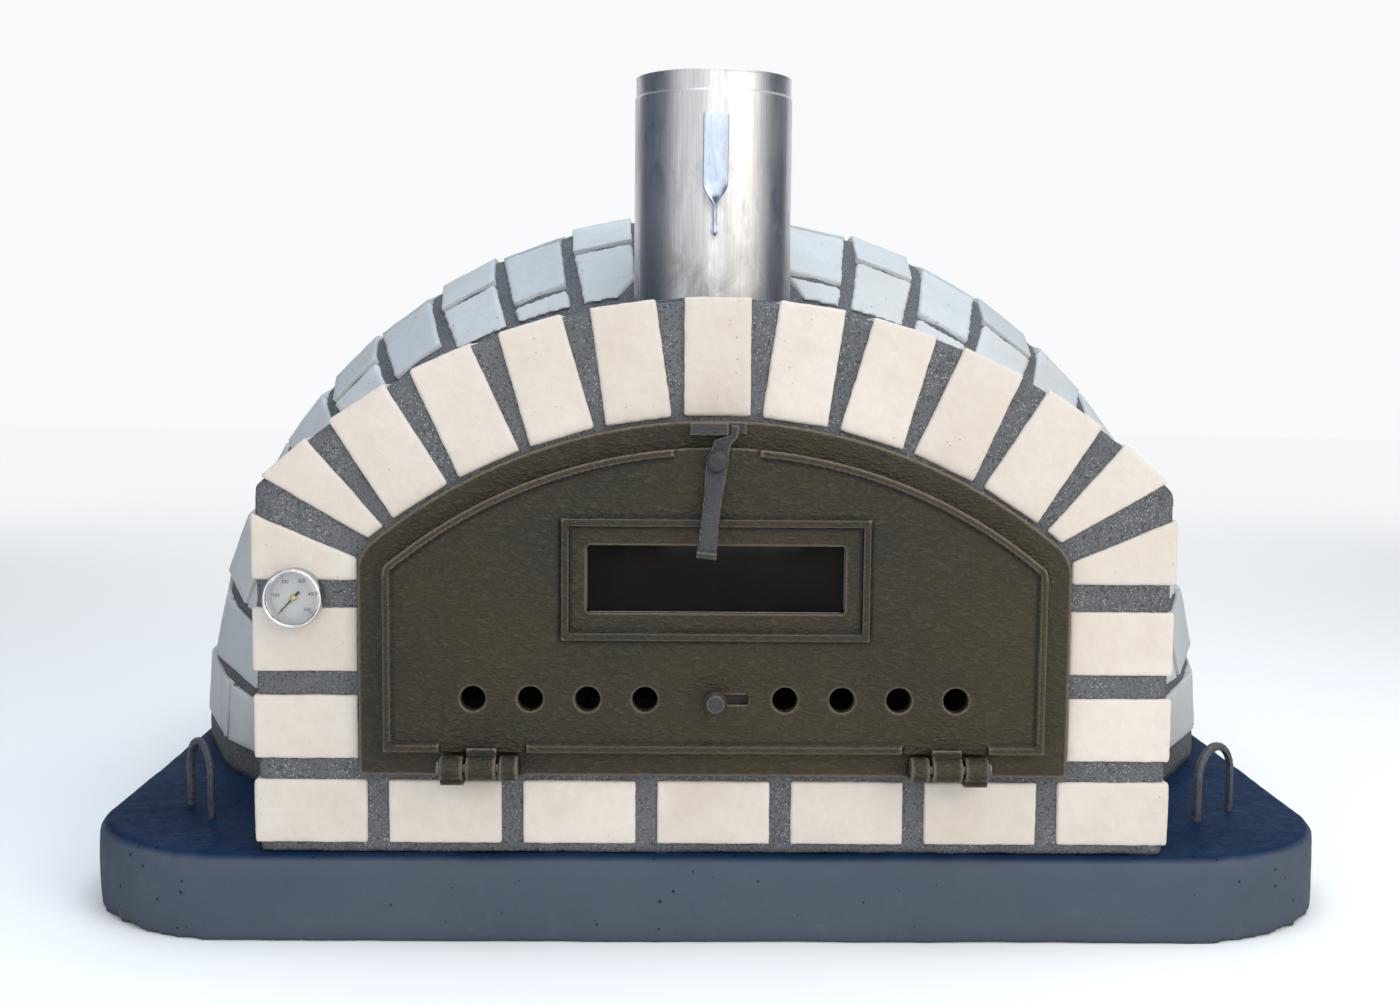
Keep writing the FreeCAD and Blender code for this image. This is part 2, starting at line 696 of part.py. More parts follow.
def makeSillBricks():
    width = "(facade_width - 6 * sill_joint) / 7"
    bricks = []
    for index in range(7):
        left = "-facade_width / 2 + %d * (%s + sill_joint)" % (index, width)
        low = "slab_thickness + sill_bed"
        bricks.append(block(
            "sill_brick", (left, "brick_face", low),
            ("%s + %s" % (left, width), "facade_back", "%s + sill_brick_height" % low),
        ))
    return [group("sill_bricks", bricks)]


def makeJambBricks():
    groups = []
    inner = "frame_width / 2 + frame_joint"
    for side, left, right in (
        ("left", "-facade_width / 2", "-(%s)" % inner), ("right", inner, "facade_width / 2")
    ):
        bricks = []
        for foot in ("jamb_lower", "jamb_upper"):
            low = "slab_thickness + %s" % foot
            bricks.append(block(
                "jamb_brick", (left, "brick_face", low),
                (right, "facade_back", "%s + jamb_brick_height" % low),
            ))
        groups.append(group("jamb_bricks_" + side, bricks))
    return groups


def facadePiece(label, corners, clear, outline):
    """A cut brick of the facade, kept clear of the door frame and inside the facade's outline."""
    body = newBody(label + "_body")
    padThrough(body, "brick_face", "facade_back", lambda s: polygon(s, corners))
    return keep(label, cut(label + "_trim", overlap(label + "_whole", body, outline), clear))


def makeArch():
    """Skewbacks, and eleven bricks from the left springing to the right one."""
    clear = framePrism("frame_clearance", "-frame_joint", "0", "brick_face - 5", "facade_back + 5")
    outline = archPrism("facade_outline", "facade_width / 2", "0", "arch_radius + 1",
                        "brick_face - 5", "facade_back + 5")
    pieces = []
    inner = "frame_width / 2 + frame_joint"
    for name, sign in (("left", "-"), ("right", "")):
        corners = [
            ("%s(facade_width / 2)" % sign, "slab_thickness + skewback_foot"),
            ("%s(%s)" % (sign, inner), "slab_thickness + skewback_foot"),
            ("%s(%s)" % (sign, inner), "slab_thickness + skewback_inner"),
            ("%s(facade_width / 2)" % sign, "slab_thickness + skewback_outer"),
        ]
        pieces.append(facadePiece("skewback_" + name, corners, clear, outline))
    low = "(arch_radius - brick_height)"
    for index in range(11):
        place = index - 5
        middle = "%d * arch_pitch * 1 deg" % place
        ends = []
        for side in (-1, 1):
            outer = "%s + %d * asin(brick_width / 2 / arch_radius)" % (middle, side)
            under = "%s + %d * asin(brick_width / 2 / %s)" % (middle, side, low)
            if side * place == 5:
                outer = "%d * springer_outer * 1 deg" % side
                under = "%d * springer_inner * 1 deg" % side
            ends.append((outer, under))
        turns = [(ends[0][0], "arch_radius"), (ends[1][0], "arch_radius"), (ends[1][1], low),
                 (ends[0][1], low)]
        corners = [("%s * sin(%s)" % (r, a), "arch_centre + %s * cos(%s)" % (r, a)) for a, r in turns]
        pieces.append(facadePiece("arch_brick_%02d" % (index + 1), corners, clear, outline))
    return pieces


def makeFacadeMortar(tools, bricks, porch):
    block_body = archPrism(
        "facade_block", "facade_width / 2 - joint_recess", "slab_thickness",
        "arch_radius - joint_recess", "mortar_face", "facade_rear"
    )
    doorway = framePrism(
        "doorway", "tunnel_inset", "frame_foot + tunnel_inset", "mortar_face - 5", "facade_back + 1"
    )
    mortar = cut("facade_fill", block_body, tools["shell"], doorway, tools["vault"], porch,
                 tools["collar"], tools["socket"], tools["probe"], *bricks)
    portions("facade_mortar", mortar, "facade_back")


# ---- flue and damper ------------------------------------------------------------------------

def makeFlue(tools):
    whole = post("collar_whole", "collar_radius", "collar_foot", "collar_top",
                 "0", "flue_y")
    vault_bed = framePrism(
        "vault_bed", "vault_inset", "0", "facade_back - 50", "facade_rear + 60"
    )
    keep("flue_collar", cut("collar", whole, vault_bed, tools["dome"], tools["bore"], tools["socket"]))

    column = post("bead_column", "flue_outer + fillet_width", "collar_top",
                  "slab_thickness + flue_top", "0", "flue_y")
    over = archPrism(
        "bead_top", "facade_width / 2", "0", "arch_radius - joint_recess + fillet_height",
        "-slab_depth / 2", "facade_rear"
    )
    under = archPrism(
        "bead_bed", "facade_width / 2", "0", "arch_radius - joint_recess + layer_gap",
        "-slab_depth / 2", "facade_rear + 1"
    )
    skin = join("bead_skin", over, ball("bead_ball", "mortar_outer + fillet_height"))
    bead = cut("bead", overlap("bead_ring", column, skin), tools["shell"], under, tools["socket"])
    keep("flue_mortar_bead", bead)

    shoulder = "slab_thickness + flue_top - spigot_length"
    pipe = join(
        "pipe_outside",
        post("pipe_body", "flue_outer", "flue_seat", shoulder, "0", "flue_y"),
        post("pipe_spigot", "flue_outer - spigot_step", shoulder, "slab_thickness + flue_top",
             "0", "flue_y"),
    )
    waist = "%s - flue_wall" % shoulder
    space = join(
        "pipe_inside",
        post("pipe_bore", "flue_outer - flue_wall", "flue_seat - 1", waist, "0", "flue_y"),
        post("spigot_bore", "flue_outer - spigot_step - flue_wall", waist,
             "slab_thickness + flue_top + 1", "0", "flue_y"),
    )
    hole = rod("spindle_holes", "spindle_radius + running_gap", "flue_y - flue_outer - 1",
               "flue_y + flue_outer + 1", "0", "damper_z")
    keep("flue_pipe", cut("pipe", pipe, space, hole))


def makeDamper():
    """A round plate screwed to the side of a spindle that crosses the flue front to back."""
    reach = "flue_outer - flue_wall - damper_clearance"
    side, far = "spindle_radius", "spindle_radius + damper_thickness"
    disc = doc.addObject("Part::Cylinder", "damper_disc")
    bind(disc, "Radius", reach)
    bind(disc, "Height", "damper_thickness")
    stand(disc, side, "flue_y", "damper_z", Rotation(Vector(0, 1, 0), 90))
    spindle = rod("spindle_bar", "spindle_radius", "spindle_front",
                  "flue_y + flue_outer + spindle_tail", "0", "damper_z")
    screws, spaces = [], []
    for sign in ("-", "+"):
        y = "flue_y %s damper_screw_span" % sign
        for name, radius, low, high, store in (
            ("screw_shank", "damper_screw_radius", "-spindle_radius - 2", far, screws),
            ("screw_head", "damper_screw_head", far, "%s + 2.5" % far, screws),
            ("screw_space", "damper_screw_radius + running_gap", "-spindle_radius - 3",
             "%s + 1" % far, spaces),
        ):
            part = doc.addObject("Part::Cylinder", name)
            bind(part, "Radius", radius)
            bind(part, "Height", "(%s) - (%s)" % (high, low))
            stand(part, low, y, "damper_z", Rotation(Vector(0, 1, 0), 90))
            store.append(part)
    pairs = [join("damper_screw", *screws[i:i + 2]) for i in (0, 2)]
    group("damper_screws", pairs)
    keep("damper_plate", cut("damper_drilled", disc, *spaces))
    keep("damper_spindle", cut("spindle_drilled", spindle, *spaces))
    makeDamperHandle()


def makeDamperHandle():
    """A strap: a foot on the spindle's end, an edge-on tail, a quarter twist and a flat paddle."""
    x_half, y_deep = value("strap_thickness") / 2, value("strap_width")
    foot_length, tail = value("foot_length"), value("tail_length")
    twist, paddle = value("twist_length"), value("paddle_length")
    y_back, z_foot = value("spindle_front"), value("damper_z - foot_length / 2")
    foot = Part.makeBox(2 * x_half, y_deep, foot_length, Vector(-x_half, y_back - y_deep, z_foot))

    def section(height, angle, width):
        half = width / 2
        corners = [Vector(-x_half, -half, height), Vector(x_half, -half, height),
                   Vector(x_half, half, height), Vector(-x_half, half, height)]
        wire = Part.makePolygon(corners + corners[:1])
        wire.rotate(Vector(0, 0, height), Vector(0, 0, 1), angle)
        return wire

    steps = 6
    wires = []
    for index in range(steps + 1):
        share = index / steps
        width = y_deep + (value("paddle_width") - y_deep) * share
        wires.append(section(tail + twist * share, 90 * share, width))
    twisted = Part.makeLoft(wires, True, True)
    tail_bar = Part.makeBox(2 * x_half, y_deep, tail, Vector(-x_half, -y_deep / 2, 0))
    blade = Part.makeBox(value("paddle_width"), 2 * x_half, paddle,
                         Vector(-value("paddle_width") / 2, -x_half, tail + twist))
    strap = tail_bar.fuse([twisted, blade])
    strap.rotate(Vector(0, -y_deep / 2, 0), Vector(1, 0, 0), value("handle_lean"))
    strap.translate(Vector(0, y_back - y_deep / 2, z_foot + foot_length - 3))
    feature = doc.addObject("Part::Feature", "handle_strap")
    feature.Shape = foot.fuse(strap).removeSplitter()
    keep("damper_handle", feature)


# ---- door frame, hinges and catch -----------------------------------------------------------

def ring(sketch, outer, inner):
    frameOutline(sketch, outer)
    frameOutline(sketch, inner)


def knuckle(body, left, right, arm_back, arm_low, arm_high):
    """A round eye on the hinge axis with an arm back to its plate."""
    padAcross(body, left, right, lambda s: circle(s, "hinge_y", "hinge_z", "knuckle_radius"))
    padAcross(body, left, right, lambda s: rectangle(s, "hinge_y", arm_low, arm_back, arm_high))


def hingeBore(body, radius):
    sketch = newSketch(body, "YZ_Plane")
    circle(sketch, "hinge_y", "hinge_z", radius)
    feature = body.newObject("PartDesign::Pocket", "bore")
    feature.Profile = sketch
    feature.Midplane = True
    bind(feature, "Length", "frame_width")
    doc.recompute()


def hingeSpans(side):
    """Each knuckle's two x places, from the outside of the door inwards, on one side."""
    half = "leaf_knuckle / 2"
    outer = ("hinge_offset + %s + knuckle_gap + outer_knuckle" % half,
             "hinge_offset + %s + knuckle_gap" % half)
    middle = ("hinge_offset + %s" % half, "hinge_offset - %s" % half)
    inner = ("hinge_offset - %s - knuckle_gap" % half,
             "hinge_offset - %s - knuckle_gap - inner_knuckle" % half)
    spans = []
    for far, near in (outer, middle, inner):
        ends = ("-(%s)" % far, "-(%s)" % near) if side < 0 else (near, far)
        spans.append(ends)
    return spans


def makeFrame():
    body = newBody("frame_body")
    padThrough(body, "flange_front", "mortar_face", lambda s: ring(s, "0", "opening_inset"))
    padThrough(body, "mortar_face", "mortar_face + collar_depth",
               lambda s: ring(s, "opening_inset - frame_wall", "opening_inset"))
    for side in (-1, 1):
        outer, _, inner = hingeSpans(side)
        knuckle(body, *outer, "flange_front", "frame_foot - 5", "hinge_z + knuckle_radius / 2")
        knuckle(body, *inner, "flange_front", "frame_foot", "hinge_z + knuckle_radius / 2")
    hingeBore(body, "pin_radius + pin_fit")
    keep("door_frame", body)

    for name, side in (("left", -1), ("right", 1)):
        outer, _, inner = hingeSpans(side)
        ends = (outer[0], inner[1]) if side < 0 else (inner[0], outer[1])
        pin_body = newBody("pin_body")
        padAcross(pin_body, ends[0], ends[1],
                  lambda s: circle(s, "hinge_y", "hinge_z", "pin_radius"))
        head = ("%s - pin_head_length" % ends[0], ends[0])
        if side > 0:
            head = (ends[1], "%s + pin_head_length" % ends[1])
        padAcross(pin_body, *head, lambda s: circle(s, "hinge_y", "hinge_z", "pin_head_radius"))
        keep("hinge_pin_" + name, pin_body)


def makeCatch():
    """A bar that stands off a base on the frame's crown, open at its right end."""
    body = newBody("catch_body")
    low, high = "catch_height - catch_depth / 2", "catch_height + catch_depth / 2"
    padThrough(body, "catch_back", "flange_front",
               lambda s: rectangle(s, "-catch_left", low, "catch_right", high))
    bar_front = "catch_back - catch_gap - catch_bar"
    padThrough(body, bar_front, "catch_back",
               lambda s: rectangle(s, "-catch_left", low, "catch_post - catch_left", high))
    padThrough(body, bar_front, "catch_back - catch_gap",
               lambda s: rectangle(s, "-catch_left", low, "catch_end", high))
    keep("latch_catch", body)


# ---- door leaf ------------------------------------------------------------------------------

def bossPlaces():
    return [(x, z) for x in ("-boss_side", "0", "boss_side")
            for z in ("window_height - boss_rise", "window_height + boss_rise")]


def ventPlaces():
    return ["%d * (vent_first + %d * vent_pitch)" % (side, index)
            for side in (-1, 1) for index in range(4)]


def centredBox(sketch, width, height):
    """A rectangle about the window's centre."""
    rectangle(sketch, "-(%s) / 2" % width, "window_height - (%s) / 2" % height,
              "(%s) / 2" % width, "window_height + (%s) / 2" % height)


def makeLeaf():
    body = newBody("leaf_body")
    padThrough(body, "leaf_front", "leaf_back", lambda s: frameOutline(s, "leaf_inset"))
    bead_front = "leaf_front - bead_height"
    padThrough(body, bead_front, "leaf_front",
               lambda s: ring(s, "leaf_inset", "leaf_inset + bead_width"))

    def beadGaps(sketch):
        low, high = "frame_foot", "frame_foot + leaf_inset + bead_width + 1"
        rectangle(sketch, "-bead_gap_top", "window_height + rib_depth / 2 + 10", "bead_gap_top",
                  "arch_centre + frame_radius")
        rectangle(sketch, "-bead_gap_outer", low, "-bead_gap_inner", high)
        rectangle(sketch, "bead_gap_inner", low, "bead_gap_outer", high)

    pocketThrough(body, bead_front, "leaf_front", beadGaps)

    def rib(sketch):
        centredBox(sketch, "rib_length", "rib_depth")
        centredBox(sketch, "rib_length - 2 * rib_width", "rib_depth - 2 * rib_width")

    padThrough(body, "leaf_front - rib_height", "leaf_front", rib)
    padThrough(body, "leaf_back", "glass_back",
               lambda s: [circle(s, x, z, "boss_radius") for x, z in bossPlaces()])

    def openings(sketch):
        centredBox(sketch, "window_width", "window_opening")
        for x in ventPlaces():
            circle(sketch, x, "vent_height", "vent_radius")
        circle(sketch, "0", "latch_height", "bolt_radius + running_gap")
        rectangle(sketch, "-stem_radius - slot_gap", "vent_height - stem_radius - slot_gap",
                  "vent_travel + stem_radius + slot_gap", "vent_height + stem_radius + slot_gap")

    pocketThrough(body, "leaf_front - 1", "leaf_back", openings)
    front, radius = value("leaf_front"), value("vent_radius")
    bevelEdges(body, "vent_bevel", lambda e: flatAt(e, "y", front)
               and abs(e.Length - 2 * math.pi * radius) < 0.1)
    for side in (-1, 1):
        _, middle, _ = hingeSpans(side)
        knuckle(body, *middle, "leaf_back", "hinge_z", "hinge_z + hinge_drop + 5")
    hingeBore(body, "pin_radius + running_gap")

    sketch = newSketch(body, "XZ_Plane", "glass_back")
    for x, z in bossPlaces():
        circle(sketch, x, z, "screw_radius + screw_fit")
    pocket(body, sketch, "screw_depth + 0.5", True)
    keep("door_leaf", body)


def plate(label, front, back, draw):
    body = newBody(label + "_body")
    padThrough(body, front, back, draw)
    return keep(label, body)


def makeWindow():
    lapped = ("window_width + 2 * glass_lap", "window_opening + 2 * glass_lap")

    def gasket(sketch):
        centredBox(sketch, *lapped)
        centredBox(sketch, "window_width", "window_opening")

    def retainer(sketch):
        centredBox(sketch, "window_width + 2 * retainer_lap", "window_opening + 2 * retainer_lap")
        centredBox(sketch, "window_width", "window_opening")
        for x, z in bossPlaces():
            circle(sketch, x, z, "screw_radius + screw_fit")

    plate("window_gasket", "leaf_back", "gasket_back", gasket)
    plate("window_glass", "gasket_back", "glass_back", lambda s: centredBox(s, *lapped))
    plate("glass_retainer", "glass_back", "retainer_back", retainer)
    screws = []
    for x, z in bossPlaces():
        shank = rod("screw_shank", "screw_radius", "glass_back - screw_depth", "retainer_back", x, z)
        head = rod("screw_head", "screw_head", "retainer_back", "retainer_back + screw_head_height",
                   x, z)
        screws.append(join("retainer_screw", shank, head))
    group("retainer_screws", screws)


def makeVents():
    def slider(sketch):
        rectangle(sketch, "-slider_half", "vent_height - slider_height / 2", "slider_half",
                  "vent_height + slider_height / 2")
        for x in ventPlaces():
            circle(sketch, x, "vent_height", "vent_radius")

    plate("vent_slider", "slider_front", "slider_back", slider)

    knob = newBody("knob_body")
    base = "leaf_front - slider_front"
    revolve(knob, [
        ("0", "0"), ("stem_radius", "0"), ("stem_radius", "%s - knob_stand" % base),
        ("knob_radius - 2", "%s - knob_stand" % base),
        ("knob_radius", "%s - knob_stand - 3" % base),
        ("knob_radius", "%s - knob_stand - knob_length + 4" % base),
        ("knob_radius - 3", "%s - knob_stand - knob_length" % base),
        ("0", "%s - knob_stand - knob_length" % base),
    ])
    stand(knob, "0", "slider_front", "vent_height")
    keep("vent_knob", knob)

    half = "slider_half + vent_travel + guide_margin"
    lip_front = "slider_back + slider_gap"
    lip_back = "%s + guide_lip_thickness" % lip_front
    for name, sign in (("upper", 1), ("lower", -1)):
        near = "vent_height + %d * (slider_height / 2 + slider_gap)" % sign
        far = "%s + %d * guide_height" % (near, sign)
        tip = "%s - %d * guide_lip" % (near, sign)
        web_low, web_high = (near, far) if sign > 0 else (far, near)
        lip_low, lip_high = (tip, far) if sign > 0 else (far, tip)
        web = block("guide_web", ("-(%s)" % half, "leaf_back", web_low), (half, lip_front, web_high))
        lip = block("guide_lip", ("-(%s)" % half, lip_front, lip_low), (half, lip_back, lip_high))
        keep("vent_guide_" + name, join("guide", web, lip))


# ---- latch ----------------------------------------------------------------------------------

def makeLatch():
    """A lever on the leaf: an eared head above its pivot and a sloping arm below."""
    body = newBody("lever_body")
    padThrough(body, "-lever_thickness", "0", lambda s: circle(s, "0", "0", "hub_radius"))
    head = [("-8.5", "0"), ("8.5", "0"), ("10.5", "16"), ("15.5", "23"), ("15.5", "33"),
            ("8.5", "33"), ("8.5", "24"), ("-5", "18")]
    padThrough(body, "-lever_thickness", "0", lambda s: polygon(s, head))
    side_view = [
        ("0", "0"), ("0", "-12"), ("-arm_slope + 6", "-arm_length + 7"),
        ("-arm_slope - 1", "-arm_length"), ("-arm_slope - 6", "-arm_length + 1"),
        ("-arm_slope - 9", "-arm_length + 6"), ("-arm_slope - 5", "-arm_length + 8"),
        ("-arm_slope", "-arm_length + 6.5"), ("-arm_thickness - 1.5", "-12"),
        ("-lever_thickness", "-9"), ("-lever_thickness", "0"),
    ]
    padAcross(body, "-arm_width / 2", "arm_width / 2", lambda s: polygon(s, side_view))
    pocketThrough(body, "-lever_thickness - 30", "0",
                  lambda s: circle(s, "0", "0", "bolt_radius + running_gap"))
    stand(body, "0", "lever_back", "latch_height", Rotation(Vector(0, 1, 0), value("latch_lean")))
    keep("latch_lever", body)

    bolt = newBody("bolt_body")
    inside = "leaf_back - leaf_front - 0.5"
    face = "-lever_gap - lever_thickness - lever_gap"
    revolve(bolt, [
        ("0", inside), ("bolt_radius", inside), ("bolt_radius", face), ("bolt_head", face),
        ("bolt_head * 0.93", "%s - bolt_head_height * 0.45" % face),
        ("bolt_head * 0.7", "%s - bolt_head_height * 0.8" % face),
        ("bolt_head * 0.35", "%s - bolt_head_height * 0.96" % face),
        ("0", "%s - bolt_head_height" % face),
    ])
    stand(bolt, "0", "leaf_front", "latch_height")
    keep("latch_bolt", bolt)


# ---- thermometer ----------------------------------------------------------------------------

def makeThermometer():
    place = ("-gauge_side", "brick_face", "gauge_height")
    bore = "gauge_radius - gauge_wall"
    needle_bore = "gauge_spindle + running_gap"

    case = newBody("gauge_body")
    revolve(case, [
        ("0", "0"), ("gauge_radius - 1", "0"), ("gauge_radius", "-1"),
        ("gauge_radius", "-gauge_depth - gauge_lip + 1.5"),
        ("gauge_radius - 1.5", "-gauge_depth - gauge_lip"),
        ("gauge_lip_inner + 1", "-gauge_depth - gauge_lip"), ("gauge_lip_inner", "-gauge_depth - 0.5"),
        ("gauge_lip_inner", "-gauge_depth"), (bore, "-gauge_depth"), (bore, "-gauge_back"),
        (needle_bore, "-gauge_back"), (needle_bore, "-gauge_back / 2"), ("0", "-gauge_back / 2"),
    ])
    keep("thermometer_case", stand(case, *place))

    dial = newBody("dial_body")
    face = "-gauge_back - dial_thickness"
    revolve(dial, [
        (needle_bore, "-gauge_back"), ("%s - gauge_fit" % bore, "-gauge_back"),
        ("%s - gauge_fit" % bore, face), (needle_bore, face),
    ])
    keep("thermometer_dial", stand(dial, *place))

    lens = newBody("lens_body")
    revolve(lens, [
        ("0", "-gauge_depth + lens_thickness"), ("%s - gauge_fit" % bore, "-gauge_depth + lens_thickness"),
        ("%s - gauge_fit" % bore, "-gauge_depth"), ("0", "-gauge_depth"),
    ])
    keep("thermometer_lens", stand(lens, *place))

    needle = newBody("needle_body")
    low = "%s - needle_stand" % face
    top = "%s - needle_thickness" % low
    revolve(needle, [
        ("0", "-gauge_back / 2 - 0.3"), ("gauge_spindle", "-gauge_back / 2 - 0.3"),
        ("gauge_spindle", low), ("needle_hub", low), ("needle_hub", "%s - 0.6" % top),
        ("0", "%s - 0.9" % top),
    ])
    half = "needle_width / 2"
    padThrough(needle, top, low, lambda s: polygon(s, [
        ("-%s * 1.4" % half, "-needle_tail"), ("%s * 1.4" % half, "-needle_tail"), (half, "0"),
        ("0.25", "needle_reach"), ("-0.25", "needle_reach"), ("-%s" % half, "0"),
    ]))
    turn = Rotation(Vector(0, 1, 0), -value("gauge_zero"))
    keep("thermometer_pointer", stand(needle, *place, turn))

    keep("thermometer_probe", rod("probe", "probe_radius", "brick_face",
                                  "brick_face + probe_length - 0.5", "-gauge_side", "gauge_height"))


# ---- assembly -------------------------------------------------------------------------------

def build():
    makeSlab()
    for name, place in loopPlaces.items():
        makeLoop(name, *place)
    tools = makeTools()
    makeHearth(tools)
    makeDome(tools)
    doc.recompute()
    cladding = makeCladding()
    porch = makeMortar(tools, cladding)
    facade = makeSillBricks() + makeJambBricks() + makeArch()
    makeFacadeMortar(tools, facade, porch)
    makeFlue(tools)
    makeDamper()
    makeFrame()
    makeCatch()
    makeLeaf()
    makeWindow()
    makeVents()
    makeLatch()
    makeThermometer()
    doc.recompute()


def check():
    for thing in doc.Objects:
        if "Invalid" in thing.State or "Error" in thing.State:
            raise ValueError("%s (%s) is %s" % (thing.Name, thing.Label, thing.State))
    for label, thing in finished.items():
        shape = thing.Shape
        if shape.isNull() or not shape.isValid() or not shape.Solids:
            raise ValueError("%s has no valid solid" % label)


def write():
    os.makedirs("parts", exist_ok=True)
    for label, thing in finished.items():
        thing.Shape.exportStep(os.path.join("parts", label + ".step"))
        print("%-22s %4d solids %14.0f mm3" % (label, len(thing.Shape.Solids), thing.Shape.Volume))


build()
check()
write()
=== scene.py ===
import json
import math

import bmesh
import bpy
import numpy as np
from mathutils import Matrix, Vector


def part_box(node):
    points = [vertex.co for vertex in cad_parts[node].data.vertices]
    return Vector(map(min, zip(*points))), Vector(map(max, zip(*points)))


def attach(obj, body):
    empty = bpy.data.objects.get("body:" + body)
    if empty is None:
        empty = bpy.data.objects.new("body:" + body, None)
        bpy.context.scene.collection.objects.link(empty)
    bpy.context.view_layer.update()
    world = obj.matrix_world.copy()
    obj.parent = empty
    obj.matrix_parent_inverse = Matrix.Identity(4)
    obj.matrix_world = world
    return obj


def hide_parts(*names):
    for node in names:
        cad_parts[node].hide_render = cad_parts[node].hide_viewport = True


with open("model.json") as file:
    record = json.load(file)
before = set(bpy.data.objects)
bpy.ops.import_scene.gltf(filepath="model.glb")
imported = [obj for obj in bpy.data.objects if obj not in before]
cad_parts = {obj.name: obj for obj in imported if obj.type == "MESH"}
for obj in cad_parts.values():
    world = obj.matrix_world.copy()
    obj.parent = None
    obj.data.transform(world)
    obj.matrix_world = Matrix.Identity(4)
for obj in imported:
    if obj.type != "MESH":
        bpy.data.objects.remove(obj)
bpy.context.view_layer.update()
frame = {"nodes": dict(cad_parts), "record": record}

# Wood fired pizza oven. Metres, +Z up, -Y is the front with the door.

nodes = frame["nodes"]
record = frame["record"]
bodyOf = {node: body for body, members in record["behaviour"]["bodies"].items() for node in members}

mergeGap = 1e-5
flatAngle = math.radians(0.6)
wearAndLight = {"strength": 1.6, "rounds": 2}


# meshes

def newPiece(name, mesh):
    piece = bpy.data.objects.new(name, mesh)
    bpy.context.scene.collection.objects.link(piece)
    return piece


def meshFrom(name, bm):
    mesh = bpy.data.meshes.new(name)
    bm.to_mesh(mesh)
    bm.free()
    return mesh


def pieceFrom(name, corners, faces):
    mesh = bpy.data.meshes.new(name)
    mesh.from_pydata([tuple(c) for c in corners], [], faces)
    mesh.validate()
    return newPiece(name, mesh)


def modify(piece, kind, **settings):
    modifier = piece.modifiers.new(kind.title(), kind)
    for key, value in settings.items():
        setattr(modifier, key, value)
    return piece


def settle(piece):
    # turns the modifiers' result into the piece's own plain mesh
    bpy.context.view_layer.update()
    shaped = piece.evaluated_get(bpy.context.evaluated_depsgraph_get())
    mesh = bpy.data.meshes.new_from_object(shaped)
    piece.modifiers.clear()
    piece.data = mesh
    mesh.name = piece.name
    return piece


def copyOf(name, node):
    # a merged copy of a CAD node, with its flat faces whole again
    bm = bmesh.new()
    bm.from_mesh(nodes[node].data)
    bmesh.ops.remove_doubles(bm, verts=bm.verts, dist=mergeGap)
    bmesh.ops.dissolve_limit(bm, angle_limit=flatAngle, verts=bm.verts, edges=bm.edges)
    return newPiece(name, meshFrom(name, bm))


def roughen(piece, *layers):
    # each layer is the size of its lumps and how far they stand
    for size, height in layers:
        texture = bpy.data.textures.new("lumps", "CLOUDS")
        texture.noise_scale = size
        texture.noise_depth = 1
        modify(piece, "DISPLACE", texture=texture, texture_coords="LOCAL", strength=2 * height, mid_level=0.5)
    return piece


def cast(piece, grain, rounds):
    # gives the soft edges of a casting
    modify(piece, "REMESH", mode="VOXEL", voxel_size=grain)
    return modify(piece, "SMOOTH", factor=0.5, iterations=rounds)


def castCopy(name, grain, rounds, node):
    return cast(copyOf(name, node), grain, rounds)


def softCopy(name, width, node):
    # a copy with narrow rounded edges
    piece = copyOf(name, node)
    modify(piece, "BEVEL", width=width, segments=2, limit_method="ANGLE", angle_limit=math.radians(32))
    return settle(piece)


def carve(piece, tool):
    modify(piece, "BOOLEAN", operation="DIFFERENCE", object=tool, solver="MANIFOLD")
    settle(piece)
    bpy.data.objects.remove(tool)
    return piece


def pointOut(piece):
    bm = bmesh.new()
    bm.from_mesh(piece.data)
    bmesh.ops.remove_doubles(bm, verts=bm.verts, dist=mergeGap / 10)
    bmesh.ops.recalc_face_normals(bm, faces=bm.faces)
    bm.to_mesh(piece.data)
    bm.free()
    return piece


def turned(name, profile, segments, place, upright=True, wave=None):
    # a profile of (radius, height) turned about Z, or about Y with its heights towards the back
    corners, faces, rings = [], [], []
    for radius, height in profile:
        if radius < mergeGap:
            rings.append([len(corners)] * segments)
            corners.append(Vector((0, 0, height)))
            continue
        rings.append(list(range(len(corners), len(corners) + segments)))
        for k in range(segments):
            angle = 2 * math.pi * k / segments
            out = radius + (wave(angle, height) if wave else 0)
            corners.append(Vector((out * math.cos(angle), out * math.sin(angle), height)))
    for low, high in zip(rings, rings[1:] + rings[:1]):
        for k in range(segments):
            m = (k + 1) % segments
            face = list(dict.fromkeys((low[k], low[m], high[m], high[k])))
            if len(face) > 2:
                faces.append(face)
    turn = Matrix.Identity(4) if upright else Matrix.Rotation(math.radians(-90), 4, "X")
    return pointOut(pieceFrom(name, [turn @ c + Vector(place) for c in corners], faces))


def prism(name, outline, front, back):
    # an outline of (x, z) between two depths
    count = len(outline)
    corners = [(x, y, z) for y in (front, back) for x, z in outline]
    faces = [list(range(count)), list(range(2 * count - 1, count - 1, -1))]
    faces += [[k, k + count, (k + 1) % count + count, (k + 1) % count] for k in range(count)]
    return pointOut(pieceFrom(name, corners, faces))


def hullOf(name, node, grow=0.0):
    # the tight skin round a CAD node, moved outwards if asked
    bm = bmesh.new()
    for vertex in nodes[node].data.vertices:
        bm.verts.new(vertex.co)
    bmesh.ops.remove_doubles(bm, verts=bm.verts, dist=mergeGap)
    result = bmesh.ops.convex_hull(bm, input=bm.verts)
    bmesh.ops.delete(bm, geom=list({*result["geom_interior"], *result["geom_unused"]}), context="VERTS")
    bmesh.ops.recalc_face_normals(bm, faces=bm.faces)
    middle = sum((v.co for v in bm.verts), Vector()) / len(bm.verts)
    for vertex in bm.verts:
        vertex.co += (vertex.co - middle).normalized() * grow
    return newPiece(name, meshFrom(name, bm))


